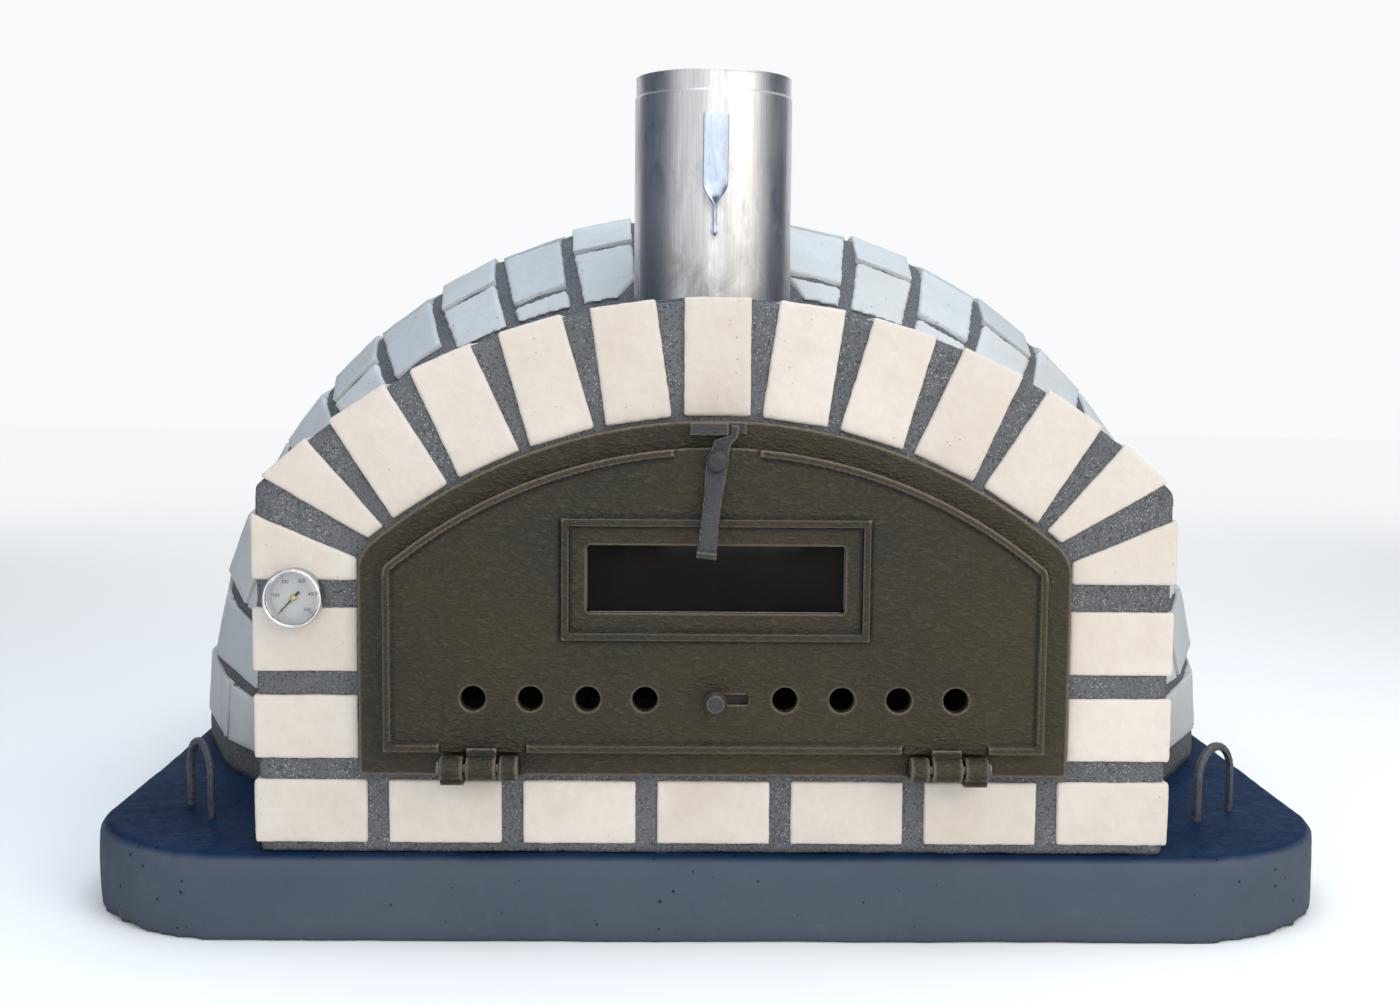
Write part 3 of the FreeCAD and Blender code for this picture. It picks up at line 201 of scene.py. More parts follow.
def arc(x, z, wide, start, end, steps, tall=None):
    # points round a centre from one angle to another
    angles = [start + (end - start) * k / steps for k in range(steps + 1)]
    return [(x + wide * math.cos(a), z + (tall or wide) * math.sin(a)) for a in angles]


def arcOutline(half, foot, centre, radius, corner=0.0, steps=48):
    # straight foot and sides under a round arch, with rounded shoulders
    inner = radius - corner
    rise = centre + math.sqrt(inner ** 2 - (half - corner) ** 2)
    turn = math.atan2(rise - centre, half - corner)
    points = [(half, foot)] + arc(half - corner, rise, corner, 0, turn, 8)
    points += arc(0, centre, radius, turn, math.pi - turn, steps)
    points += arc(corner - half, rise, corner, math.pi - turn, math.pi, 8)
    tidy = [(-half, foot)]
    for point in points:
        if math.dist(point, tidy[-1]) > mergeGap * 10:
            tidy.append(point)
    return tidy


def shareOf(value, start, end):
    return min(max((value - start) / (end - start), 0), 1)


def eased(share):
    return share * share * (3 - 2 * share)


def edgeEnds(mesh):
    ends = np.empty(len(mesh.edges) * 2, np.int32)
    mesh.edges.foreach_get("vertices", ends)
    return ends.reshape(-1, 2).T


def pieceLabels(mesh):
    # one number per separate lump of the mesh
    one, two = edgeEnds(mesh)
    labels = np.arange(len(mesh.vertices))
    while True:
        least = np.minimum(labels[one], labels[two])
        lower = labels.copy()
        np.minimum.at(lower, one, least)
        np.minimum.at(lower, two, least)
        lower = lower[lower]
        if np.array_equal(lower, labels):
            return np.unique(labels, return_inverse=True)[1]
        labels = lower


def giveValues(mesh, name, values):
    attribute = mesh.attributes.new(name, "FLOAT", "POINT")
    attribute.data.foreach_set("value", values.astype(np.float32))


def giveTones(piece, seed):
    # a random tone for each brick, which the brick finish reads
    labels = pieceLabels(piece.data)
    tones = np.random.default_rng(seed).random(labels.max() + 1)
    giveValues(piece.data, "tone", tones[labels])


def giveWearAndLight(piece):
    # how far each point stands out of or lies in its surroundings, 0.5 being flat; the iron finish uses it to
    # paint highlight on the ridges and shade in the hollows
    mesh = piece.data
    count = len(mesh.vertices)
    spots, normals = np.empty(count * 3), np.empty(count * 3)
    mesh.vertices.foreach_get("co", spots)
    mesh.vertices.foreach_get("normal", normals)
    spots, normals = spots.reshape(-1, 3), normals.reshape(-1, 3)
    one, two = edgeEnds(mesh)
    shares = np.maximum(np.bincount(one, minlength=count) + np.bincount(two, minlength=count), 1)

    def gather(atOne, atTwo):
        return (np.bincount(one, atOne, count) + np.bincount(two, atTwo, count)) / shares

    middle = np.stack([gather(spots[two, k], spots[one, k]) for k in range(3)], axis=1)
    size = np.linalg.norm(spots[one] - spots[two], axis=1)
    bend = -((middle - spots) * normals).sum(axis=1) / np.maximum(gather(size, size), mergeGap)
    for _ in range(wearAndLight["rounds"]):
        bend = (bend + gather(bend[two], bend[one])) / 2
    giveValues(mesh, "edge", np.clip(0.5 + wearAndLight["strength"] * bend, 0, 1))


def finishPiece(piece, finish, *nodeNames, body=None, slot=None, smooth=True):
    # paints the piece and hands it over in place of its CAD nodes
    piece.data.materials.clear()
    piece.data.materials.append(finish)
    (piece.data.shade_smooth if smooth else piece.data.shade_flat)()
    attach(piece, body or bodyOf[nodeNames[0]])
    if nodeNames:
        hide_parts(*nodeNames)
    return piece


def paint(finish, *nodeNames):
    # for CAD nodes that stay as they are
    for node in nodeNames:
        for holder in nodes[node].material_slots:
            holder.material = finish


# node trees

def put(tree, kind, ins=None, **settings):
    made = tree.nodes.new(kind)
    for key, value in settings.items():
        setattr(made, key, value)
    for key, value in (ins or {}).items():
        if isinstance(value, bpy.types.NodeSocket):
            tree.links.new(value, made.inputs[key])
        else:
            made.inputs[key].default_value = value
    return made


socketNames = {
    "metal": "Metallic", "rough": "Roughness", "shine": "Specular IOR Level", "ior": "IOR",
    "clear": "Transmission Weight", "fuzz": "Sheen Weight", "colour": "Base Color",
}


def newFinish(name, **fixed):
    material = bpy.data.materials.new(name)
    material.use_nodes = True
    shader = material.node_tree.nodes["Principled BSDF"]
    for key, value in fixed.items():
        shader.inputs[socketNames[key]].default_value = value
    return material, material.node_tree, shader


def place(tree, stretch=None):
    here = put(tree, "ShaderNodeTexCoord").outputs["Object"]
    if stretch:
        here = put(tree, "ShaderNodeMapping", {"Vector": here, "Scale": stretch}).outputs[0]
    return here


def grains(tree, scale, detail, rough, stretch=None, twist=0.0):
    return put(tree, "ShaderNodeTexNoise", {
        "Vector": place(tree, stretch), "Scale": scale, "Detail": detail, "Roughness": rough,
        "Distortion": twist,
    }).outputs[0]


def cells(tree, scale, output):
    return put(tree, "ShaderNodeTexVoronoi", {"Vector": place(tree), "Scale": scale}).outputs[output]


def spread(tree, value, low, high, start=0.0, end=1.0):
    return put(tree, "ShaderNodeMapRange", {
        "Value": value, "From Min": low, "From Max": high, "To Min": start, "To Max": end,
    }, clamp=True).outputs[0]


def sums(tree, kind, a, b):
    return put(tree, "ShaderNodeMath", {0: a, 1: b}, operation=kind).outputs[0]


def speckles(tree, scale, far, near, some, every):
    # round spots in some of the cells
    return sums(tree, "MULTIPLY", spread(tree, cells(tree, scale, "Distance"), far, near),
                spread(tree, cells(tree, scale, "Color"), some, every))


def blend(tree, share, a, b):
    return put(tree, "ShaderNodeMix", {0: share, 6: a, 7: b}, data_type="RGBA").outputs[2]


def relief(tree, height, depth, strength, below=None):
    ins = {"Height": height, "Distance": depth, "Strength": strength}
    if below:
        ins["Normal"] = below
    return put(tree, "ShaderNodeBump", ins).outputs[0]


def heightZ(tree):
    return put(tree, "ShaderNodeSeparateXYZ", {0: place(tree)}).outputs[2]


def newTree(name, result, ins):
    # a geometry tree, its named inputs and one result
    tree = bpy.data.node_groups.new(name, "GeometryNodeTree")
    for label, kind in ins.items():
        tree.interface.new_socket(label, in_out="INPUT", socket_type="NodeSocket" + kind)
    tree.interface.new_socket(result, in_out="OUTPUT", socket_type="NodeSocketGeometry")
    return tree, tree.nodes.new("NodeGroupInput").outputs


def closeTree(tree, shape, finish):
    real = put(tree, "GeometryNodeRealizeInstances", {0: shape}).outputs[0]
    done = put(tree, "GeometryNodeSetMaterial", {"Geometry": real, "Material": finish}).outputs[0]
    tree.links.new(done, tree.nodes.new("NodeGroupOutput").inputs[0])
    return tree


def grow(piece, tree, values):
    # runs a geometry tree on the piece, its named inputs set by their identifiers
    modifier = piece.modifiers.new(tree.name, "NODES")
    modifier.node_group = tree
    for item in tree.interface.items_tree:
        if item.in_out == "INPUT" and item.name in values:
            modifier[item.identifier] = values[item.name]
    return settle(piece)


def facingUp(tree):
    normal = put(tree, "ShaderNodeNewGeometry").outputs["Normal"]
    return put(tree, "ShaderNodeSeparateXYZ", {0: normal}).outputs[2]


def tag(tree, name):
    return put(tree, "ShaderNodeAttribute", attribute_name=name).outputs["Fac"]


def dress(tree, shader, colour, rough, normal):
    for name, socket in (("Base Color", colour), ("Roughness", rough), ("Normal", normal)):
        tree.links.new(socket, shader.inputs[name])


def rgb(r, g, b):
    return (r, g, b, 1.0)


# finishes

brickSpeck = rgb(0.16, 0.12, 0.085)
# the rubbed tone on ridges is rubbed wear and painted highlight together; the shade tone is painted shade for
# hollows
ironTones = {
    "rubbedAndHighlit": rgb(0.165, 0.130, 0.092), "shade": rgb(0.006, 0.006, 0.005), "worn": rgb(0.070, 0.060, 0.036),
    "rust": rgb(0.070, 0.040, 0.020),
}


def brickFinish(name, pale, deep, stain, dirt):
    finish, tree, shader = newFinish(name, shine=0.25)
    body = blend(tree, tag(tree, "tone"), pale, deep)
    clouds = grains(tree, 11.0, 6.0, 0.6)
    body = blend(tree, spread(tree, clouds, 0.42, 0.72, 0.0, 0.75), body, stain)
    fine = grains(tree, 140.0, 5.0, 0.65)
    body = blend(tree, spread(tree, fine, 0.3, 0.7, 0.0, 0.22), body, dirt)
    small, wide = speckles(tree, 190.0, 0.13, 0.06, 0.60, 0.64), speckles(tree, 62.0, 0.11, 0.05, 0.62, 0.66)
    specks = sums(tree, "MAXIMUM", small, wide)
    body = blend(tree, sums(tree, "MULTIPLY", specks, 0.65), body, brickSpeck)
    normal = relief(tree, fine, 0.0007, 0.7)
    normal = relief(tree, sums(tree, "SUBTRACT", 1.0, specks), 0.0012, 0.8, normal)
    dress(tree, shader, body, spread(tree, fine, 0.2, 0.8, 0.72, 0.95), normal)
    return finish


def mortarFinish(name):
    finish, tree, shader = newFinish(name, shine=0.3)
    patches = grains(tree, 14.0, 5.0, 0.6)
    sand = grains(tree, 620.0, 3.0, 0.7)
    body = blend(tree, spread(tree, patches, 0.3, 0.75), rgb(0.060, 0.066, 0.078), rgb(0.115, 0.12, 0.13))
    body = blend(tree, spread(tree, sand, 0.38, 0.66, 0.0, 0.8), body, rgb(0.19, 0.195, 0.20))
    grit = grains(tree, 330.0, 2.0, 0.6)
    body = blend(tree, spread(tree, grit, 0.55, 0.68, 0.0, 0.75), body, rgb(0.035, 0.038, 0.046))
    bright = speckles(tree, 420.0, 0.34, 0.12, 0.58, 0.66)
    body = blend(tree, sums(tree, "MULTIPLY", bright, 0.75), body, rgb(0.50, 0.50, 0.48))
    normal = relief(tree, grains(tree, 240.0, 4.0, 0.7), 0.0022, 0.8)
    normal = relief(tree, sand, 0.0009, 0.9, normal)
    dress(tree, shader, body, spread(tree, sand, 0.2, 0.8, 0.7, 0.98), normal)
    return finish


def slabFinish(name):
    finish, tree, shader = newFinish(name, shine=0.02)
    cloud = grains(tree, 7.0, 6.0, 0.62)
    skin = grains(tree, 90.0, 5.0, 0.65)
    # faces turned upwards get a deeper, bluer tone than the sides: painted sky reflection on the top face
    side = blend(tree, spread(tree, cloud, 0.3, 0.7), rgb(0.068, 0.084, 0.112), rgb(0.082, 0.098, 0.128))
    top = blend(tree, spread(tree, cloud, 0.35, 0.7), rgb(0.006, 0.020, 0.056), rgb(0.014, 0.034, 0.076))
    body = blend(tree, spread(tree, facingUp(tree), 0.55, 0.9), side, top)
    dusty = sums(tree, "MULTIPLY", spread(tree, grains(tree, 26.0, 6.0, 0.7), 0.58, 0.78),
                 spread(tree, skin, 0.42, 0.62, 0.0, 0.55))
    body = blend(tree, dusty, body, rgb(0.13, 0.155, 0.19))
    pits = speckles(tree, 95.0, 0.16, 0.07, 0.60, 0.64)
    body = blend(tree, sums(tree, "MULTIPLY", pits, 0.75), body, rgb(0.016, 0.020, 0.028))
    normal = relief(tree, skin, 0.0016, 0.6)
    normal = relief(tree, grains(tree, 380.0, 3.0, 0.7), 0.0005, 0.7, normal)
    normal = relief(tree, sums(tree, "SUBTRACT", 1.0, pits), 0.003, 0.9, normal)
    dress(tree, shader, body, spread(tree, skin, 0.25, 0.75, 0.42, 0.75), normal)
    return finish


def ironFinish(name, dark, brown, hammer, depth, roughLow, roughHigh):
    finish, tree, shader = newFinish(name, shine=0.35, metal=0.2)
    cloud = grains(tree, 6.0, 6.0, 0.65)
    beat = grains(tree, hammer, 3.0, 0.55, (0.8, 1.0, 1.7), 0.5)
    fine = grains(tree, 900.0, 3.0, 0.6)
    body = blend(tree, spread(tree, cloud, 0.35, 0.68), dark, brown)
    rust = spread(tree, grains(tree, 18.0, 6.0, 0.7), 0.58, 0.8, 0.0, 0.3)
    edge = tag(tree, "edge")
    # the edge tag lightens ridges (rubbed wear plus painted highlight) and darkens hollows with painted shade
    for share, tone in ((spread(tree, beat, 0.5, 0.72, 0.0, 0.45), "worn"), (rust, "rust"),
                        (spread(tree, edge, 0.55, 0.72, 0.0, 0.9), "rubbedAndHighlit"),
                        (spread(tree, edge, 0.48, 0.38, 0.0, 0.9), "shade")):
        body = blend(tree, share, body, ironTones[tone])
    normal = relief(tree, beat, depth, 0.75)
    normal = relief(tree, fine, 0.0003, 0.5, normal)
    dress(tree, shader, body, spread(tree, cloud, 0.3, 0.7, roughLow, roughHigh), normal)
    return finish


def stainlessFinish(name, pale, dull, foot, depth):
    # brushed along its length, dull and dusty just above its foot
    finish, tree, shader = newFinish(name, metal=1.0)
    lines = grains(tree, 60.0, 5.0, 0.7, (9.0, 9.0, 0.25))
    scuffs = grains(tree, 30.0, 6.0, 0.7, (1.0, 1.0, 0.45), 0.8)
    body = blend(tree, spread(tree, lines, 0.35, 0.65), pale, dull)
    stained = spread(tree, scuffs, 0.52, 0.75, 0.0, 0.45)
    body = blend(tree, stained, body, rgb(0.30, 0.29, 0.28))
    dust = sums(tree, "MULTIPLY", spread(tree, heightZ(tree), foot + 0.09, foot),
                spread(tree, scuffs, 0.3, 0.6))
    body = blend(tree, sums(tree, "MULTIPLY", dust, 0.7), body, rgb(0.20, 0.20, 0.21))
    rough = sums(tree, "ADD", spread(tree, lines, 0.3, 0.7, 0.24, 0.40),
                 spread(tree, scuffs, 0.4, 0.8, 0.0, 0.22))
    dress(tree, shader, body, rough, relief(tree, lines, depth, 0.35))
    return finish


def plainFinish(name, a, b, scale, roughLow, roughHigh, depth=0.0003, stretch=None, **fixed):
    # two close tones in a fine grain, for the small and hidden pieces
    finish, tree, shader = newFinish(name, **fixed)
    grain = grains(tree, scale, 5.0, 0.6, stretch)
    dress(tree, shader, blend(tree, spread(tree, grain, 0.35, 0.65), a, b),
          spread(tree, grain, 0.3, 0.7, roughLow, roughHigh), relief(tree, grain, depth, 0.6))
    return finish


def sootyFinish(name, clean, stained, soot, start, end):
    # clean near the floor and black with soot higher up
    finish, tree, shader = newFinish(name, shine=0.2)
    patches = grains(tree, 9.0, 6.0, 0.65)
    fine = grains(tree, 180.0, 4.0, 0.65)
    body = blend(tree, spread(tree, patches, 0.35, 0.7), clean, stained)
    climb = sums(tree, "ADD", spread(tree, heightZ(tree), start, end),
                 spread(tree, patches, 0.35, 0.7, -0.35, 0.35))
    body = blend(tree, spread(tree, climb, 0.1, 0.9, 0.0, 0.9), body, soot)
    dress(tree, shader, body, spread(tree, fine, 0.3, 0.7, 0.78, 0.97), relief(tree, fine, 0.0012, 0.8))
    return finish


faceBrick = brickFinish("face brick", rgb(0.70, 0.645, 0.59), rgb(0.63, 0.575, 0.52),
                        rgb(0.57, 0.50, 0.42), rgb(0.50, 0.44, 0.375))
# the dome bricks' cool, bluish tones are painted sky light on the brick colour
skyTintedDomeBrick = brickFinish("dome brick, painted sky tint", rgb(0.60, 0.625, 0.64), rgb(0.49, 0.52, 0.54),
                        rgb(0.50, 0.50, 0.48), rgb(0.40, 0.41, 0.41))
mortar = mortarFinish("sanded mortar")
slabPaint = slabFinish("painted concrete")
castIron = ironFinish("cast iron", rgb(0.018, 0.016, 0.008), rgb(0.036, 0.026, 0.011),
                      235.0, 0.0032, 0.34, 0.46)
smallIron = ironFinish("small castings", rgb(0.024, 0.029, 0.042), rgb(0.050, 0.046, 0.044),
                       300.0, 0.0022, 0.28, 0.42)
stainless = stainlessFinish("brushed stainless", rgb(0.72, 0.715, 0.71), rgb(0.54, 0.54, 0.555), 0.58, 0.0003)
# the handle and spindle steel is tinted blue: painted sky reflection
skyBlueHandleSteel = stainlessFinish("handle stainless, painted sky reflection", rgb(0.64, 0.73, 0.88), rgb(0.54, 0.62, 0.78), 0.40, 0.0002)
rebarPaint = plainFinish("painted bar", rgb(0.040, 0.048, 0.062), rgb(0.085, 0.09, 0.10),
                         210.0, 0.4, 0.7, 0.0006)
pinSteel = plainFinish("pin steel", rgb(0.10, 0.10, 0.11), rgb(0.20, 0.19, 0.18), 160.0, 0.3, 0.5, metal=0.9)
blackPlate = plainFinish("black plate", rgb(0.012, 0.011, 0.010), rgb(0.034, 0.029, 0.022), 90.0, 0.5, 0.75)
screwSteel = plainFinish("screw steel", rgb(0.28, 0.27, 0.25), rgb(0.42, 0.41, 0.39),
                         300.0, 0.25, 0.45, metal=1.0)
gasketWeave = plainFinish("fibre gasket", rgb(0.20, 0.19, 0.17), rgb(0.36, 0.34, 0.31),
                          700.0, 0.85, 1.0, 0.0008, (1.0, 1.0, 3.0), fuzz=0.4)
boardFinish = plainFinish("insulation board", rgb(0.62, 0.56, 0.44), rgb(0.72, 0.66, 0.53),
                          240.0, 0.85, 0.98, 0.0008)
blanketFinish = plainFinish("fibre blanket", rgb(0.74, 0.73, 0.70), rgb(0.84, 0.83, 0.80),
                            160.0, 0.9, 1.0, 0.002, fuzz=0.5)
hearthFinish = sootyFinish("firebrick tile", rgb(0.52, 0.40, 0.27), rgb(0.40, 0.30, 0.21),
                           rgb(0.05, 0.042, 0.036), 0.12, 0.42)
refractory = sootyFinish("sooted refractory", rgb(0.34, 0.28, 0.22), rgb(0.24, 0.20, 0.16),
                         rgb(0.022, 0.020, 0.018), 0.14, 0.40)
gaugeSteel = plainFinish("polished gauge steel", rgb(0.62, 0.62, 0.63), rgb(0.70, 0.70, 0.71),
                         120.0, 0.08, 0.16, 0.00003, metal=1.0)
dialEnamel = plainFinish("dial enamel", rgb(0.60, 0.61, 0.61), rgb(0.66, 0.67, 0.67),
                         260.0, 0.35, 0.5, 0.00004)
needleEnamel = plainFinish("needle enamel", rgb(0.008, 0.008, 0.009), rgb(0.018, 0.018, 0.019),
                           500.0, 0.3, 0.45, 0.00004)
brass = plainFinish("brass", rgb(0.55, 0.38, 0.14), rgb(0.66, 0.48, 0.2),
                    400.0, 0.2, 0.35, 0.00005, metal=1.0)
# the window glass is opaque and near black with little reflection: painted shade for the dark inside behind it
# and its dark reflections
windowGlass = plainFinish("dark glass, painted shade", rgb(0.002, 0.002, 0.002), rgb(0.006, 0.005, 0.004),
                          14.0, 0.03, 0.09, 0.00002, shine=0.06)
lensGlass = plainFinish("gauge glass", rgb(0.95, 0.96, 0.97), rgb(0.98, 0.98, 0.98),
                        60.0, 0.01, 0.03, 0.00001, clear=1.0, ior=1.2)
print("finishes are ready")


# slab and lifting loops

slab = {"grain": 0.008, "rounds": 3, "wave": (0.16, 0.0016), "lumps": (0.035, 0.0009)}


def makeSlab():
    piece = castCopy("slab", slab["grain"], slab["rounds"], "base_slab")
    roughen(piece, slab["wave"], slab["lumps"])
    settle(piece)
    for vertex in piece.data.vertices:
        vertex.co.z = max(vertex.co.z, 0.0)
    finishPiece(piece, slabPaint, "base_slab")


loops = {
    "bar": 0.004, "ribGap": 0.006, "ribSize": 0.0007, "ribLean": 28.0, "edgeRib": 0.0009, "core": 0.0036,
    "legSteps": 6, "turnSteps": 24,
    "leans": {"front_left": -1, "front_right": 1, "rear_left": 1, "rear_right": -1},
}


def barTree():
    # a round core with slanting ribs and two long ribs along any path
    tree, given = newTree("ribbed bar", "Bar", {
        "Path": "Geometry", "Core": "Float", "Rib size": "Float", "Rib gap": "Float", "Lean": "Float",
        "Edge rib": "Float", "Finish": "Material",
    })
    path = put(tree, "GeometryNodeMeshToCurve", {"Mesh": given["Path"]}).outputs[0]

    def ring(radius, steps):
        return put(tree, "GeometryNodeCurvePrimitiveCircle", {
            "Resolution": steps, "Radius": radius}).outputs[0]

    def sweep(line, profile, caps=True):
        return put(tree, "GeometryNodeCurveToMesh", {
            "Curve": line, "Profile Curve": profile, "Fill Caps": caps}).outputs[0]

    edge = ring(given["Edge rib"], 8)
    solids = [sweep(path, ring(given["Core"], 16))]
    for side in (-1.0, 1.0):
        shift = put(tree, "ShaderNodeCombineXYZ", {0: sums(tree, "MULTIPLY", given["Core"], side)}).outputs[0]
        moved = put(tree, "GeometryNodeTransform", {"Geometry": edge, "Translation": shift}).outputs[0]
        solids.append(sweep(path, moved))
    marks = put(tree, "GeometryNodeCurveToPoints", {"Curve": path, "Length": given["Rib gap"]}, mode="LENGTH")
    rib = sweep(ring(given["Core"], 16), ring(given["Rib size"], 6), False)
    lean = put(tree, "ShaderNodeCombineXYZ", {0: given["Lean"]}).outputs[0]
    rib = put(tree, "GeometryNodeTransform", {"Geometry": rib, "Rotation": lean}).outputs[0]
    solids.append(put(tree, "GeometryNodeInstanceOnPoints", {
        "Points": marks.outputs["Points"], "Instance": rib, "Rotation": marks.outputs["Rotation"],
    }).outputs[0])
    whole = tree.nodes.new("GeometryNodeJoinGeometry")
    for solid in solids:
        tree.links.new(solid, whole.inputs[0])
    return closeTree(tree, whole.outputs[0], given["Finish"])


def loopPath(node, lean):
    low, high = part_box(node)
    bar = loops["bar"]
    across = Vector((high.x - low.x - 2 * bar, lean * (high.y - low.y - 2 * bar), 0)) / 2
    middle = (low + high) / 2
    radius = across.length
    crown = high.z - bar - radius
    legs, turns = loops["legSteps"], loops["turnSteps"]

    def spot(height, share):
        return Vector((middle.x, middle.y, height)) + across * share

    points = [spot(low.z + (crown - low.z) * k / legs, -1) for k in range(legs)]
    for k in range(turns + 1):
        angle = math.pi * k / turns
        points.append(spot(crown + radius * math.sin(angle), -math.cos(angle)))
    return points + [spot(crown - (crown - low.z) * k / legs, 1) for k in range(1, legs + 1)]


def makeLoops():
    tree = barTree()
    for name, lean in loops["leans"].items():
        node = "lifting_loop_" + name
        points = loopPath(node, lean)
        mesh = bpy.data.meshes.new(node)
        mesh.from_pydata(points, [(k, k + 1) for k in range(len(points) - 1)], [])
        piece = newPiece("loop_" + name, mesh)
        grow(piece, tree, {
            "Core": loops["core"], "Rib size": loops["ribSize"], "Rib gap": loops["ribGap"],
            "Lean": math.radians(loops["ribLean"]), "Edge rib": loops["edgeRib"], "Finish": rebarPaint,
        })
        finishPiece(piece, rebarPaint, node)


makeSlab()
makeLoops()
print("slab and loops are made")


# facade bricks and mortar

faceBricks = {"grain": 0.0021, "rounds": 2, "wobble": (0.06, 0.0007), "chips": (0.009, 0.00045), "inArch": 11}
facadeMortar = {"grain": 0.0045, "rounds": 2, "wobble": (0.05, 0.0011), "sand": (0.010, 0.0008),
                "archRadius": 0.587, "doorRadius": 0.481, "doorFoot": 0.155, "shoulder": 0.008,
                "tunnel": 0.027, "past": 0.01, "lap": 0.001, "globeSteps": 64}


def makeFaceBricks():
    names = ["sill_bricks", "jamb_bricks_left", "jamb_bricks_right", "skewback_left", "skewback_right"]
    names += ["arch_brick_%02d" % (k + 1) for k in range(faceBricks["inArch"])]
    for seed, node in enumerate(names):
        piece = castCopy(node + "_worn", faceBricks["grain"], faceBricks["rounds"], node)
        roughen(piece, faceBricks["wobble"], faceBricks["chips"])
        settle(piece)
        giveTones(piece, seed)
        finishPiece(piece, faceBrick, node)


def makeFacadeMortar():
    # the whole arched bed, less the doorway, the vault and the round of the dome
    bed = facadeMortar
    low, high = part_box("facade_mortar")
    frameLow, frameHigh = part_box("door_frame")
    domeLow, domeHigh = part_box("dome_mortar")
    radius = (domeHigh.x - domeLow.x) / 2
    centre = high.z - bed["archRadius"]
    outline = arcOutline(high.x, low.z, centre, bed["archRadius"])
    piece = prism("facade_mortar_bed", outline, low.y, high.y)
    half, inset = (frameHigh.x - frameLow.x) / 2, bed["tunnel"]
    opening = arcOutline(half - inset, bed["doorFoot"] + inset, centre, bed["doorRadius"] - inset,
                         bed["shoulder"])
    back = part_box("entry_vault")[0].y + bed["lap"]
    carve(piece, prism("doorway", opening, low.y - bed["past"], back))
    carve(piece, hullOf("vault", "entry_vault"))
    globe = arc(0, 0, radius, -math.pi / 2, math.pi / 2, bed["globeSteps"])
    carve(piece, turned("globe", globe, 2 * bed["globeSteps"], (0, 0, domeHigh.z - radius)))
    cast(piece, bed["grain"], bed["rounds"])
    roughen(piece, bed["wobble"], bed["sand"])
    finishPiece(settle(piece), mortar, "facade_mortar")


makeFaceBricks()
makeFacadeMortar()
print("facade is laid")


# dome bricks and mortar

dome = {
    "bevel": 0.0015, "cuts": 7, "longEdge": 0.02, "grain": 0.0035, "rounds": 2,
    "wobble": (0.07, 0.0008), "chips": (0.012, 0.0006),
    "mortarGrain": 0.0075, "skin": 0.02, "waves": (0.06, 0.0008), "sand": (0.012, 0.0008),
    "below": 0.0036, "highest": 0.5975, "lowest": 0.586, "thin": 6e-4, "level": 0.9, "near": 0.0012,
    "under": 0.003, "frontGap": 0.004, "fitGap": 0.002, "innerSteps": 12,
}
domeSides = ("left", "crown", "right", "rear")


def wornBricks(name, node):
    # whole bricks get an even grid of faces, cut ones a fine skin
    source = copyOf(name, node)
    labels = pieceLabels(source.data)
    isWhole = (np.bincount(labels) == 8)[labels]
    whole = bmesh.new()
    whole.from_mesh(source.data)
    odd = whole.copy()
    bmesh.ops.delete(whole, geom=[v for v in whole.verts if not isWhole[v.index]], context="VERTS")
    bmesh.ops.delete(odd, geom=[v for v in odd.verts if isWhole[v.index]], context="VERTS")
    bmesh.ops.bevel(whole, geom=list(whole.edges), offset=dome["bevel"], segments=2, profile=0.5,
                    affect="EDGES", clamp_overlap=True)
    long = [e for e in whole.edges if e.calc_length() > dome["longEdge"]]
    bmesh.ops.subdivide_edges(whole, edges=long, cuts=dome["cuts"], use_grid_fill=True)
    whole.to_mesh(source.data)
    whole.free()
    mesh = meshFrom(name + "_cut", odd)
    if len(mesh.polygons):
        cutBricks = settle(cast(newPiece(name + "_cut", mesh), dome["grain"], dome["rounds"]))
        joined = bmesh.new()
        joined.from_mesh(source.data)
        joined.from_mesh(cutBricks.data)
        joined.to_mesh(source.data)
        joined.free()
        bpy.data.objects.remove(cutBricks)
    return source


def makeDomeBricks():
    for seed, side in enumerate(domeSides):
        node = "dome_bricks_" + side
        piece = wornBricks(node + "_worn", node)
        roughen(piece, dome["wobble"], dome["chips"])
        settle(piece)
        giveTones(piece, 100 + seed)
        finishPiece(piece, skyTintedDomeBrick, node)


def followBricks(piece, centre, outer):
    # fills the joints to just under the flat faces of the bricks beside them
    normals, heights = [], []
    for side in domeSides:
        bricks = copyOf("faces", "dome_bricks_" + side)
        for face in bricks.data.polygons:
            out = face.center - centre
            level = face.normal.dot(out.normalized())
            if out.length > outer and level > dome["level"] and face.area > dome["thin"]:
                normals.append(face.normal.copy())
                heights.append(face.normal.dot(out))
        bpy.data.objects.remove(bricks)
    normals, heights = np.array(normals), np.array(heights)
    for vertex in piece.data.vertices:
        out = vertex.co - centre
        if out.length < outer:
            continue
        facings = normals @ np.array(out.normalized())
        near = facings > facings.max() - dome["near"]
        reach = (heights[near] / facings[near]).min() - dome["below"]
        vertex.co = centre + out.normalized() * min(max(reach, dome["lowest"]), dome["highest"])


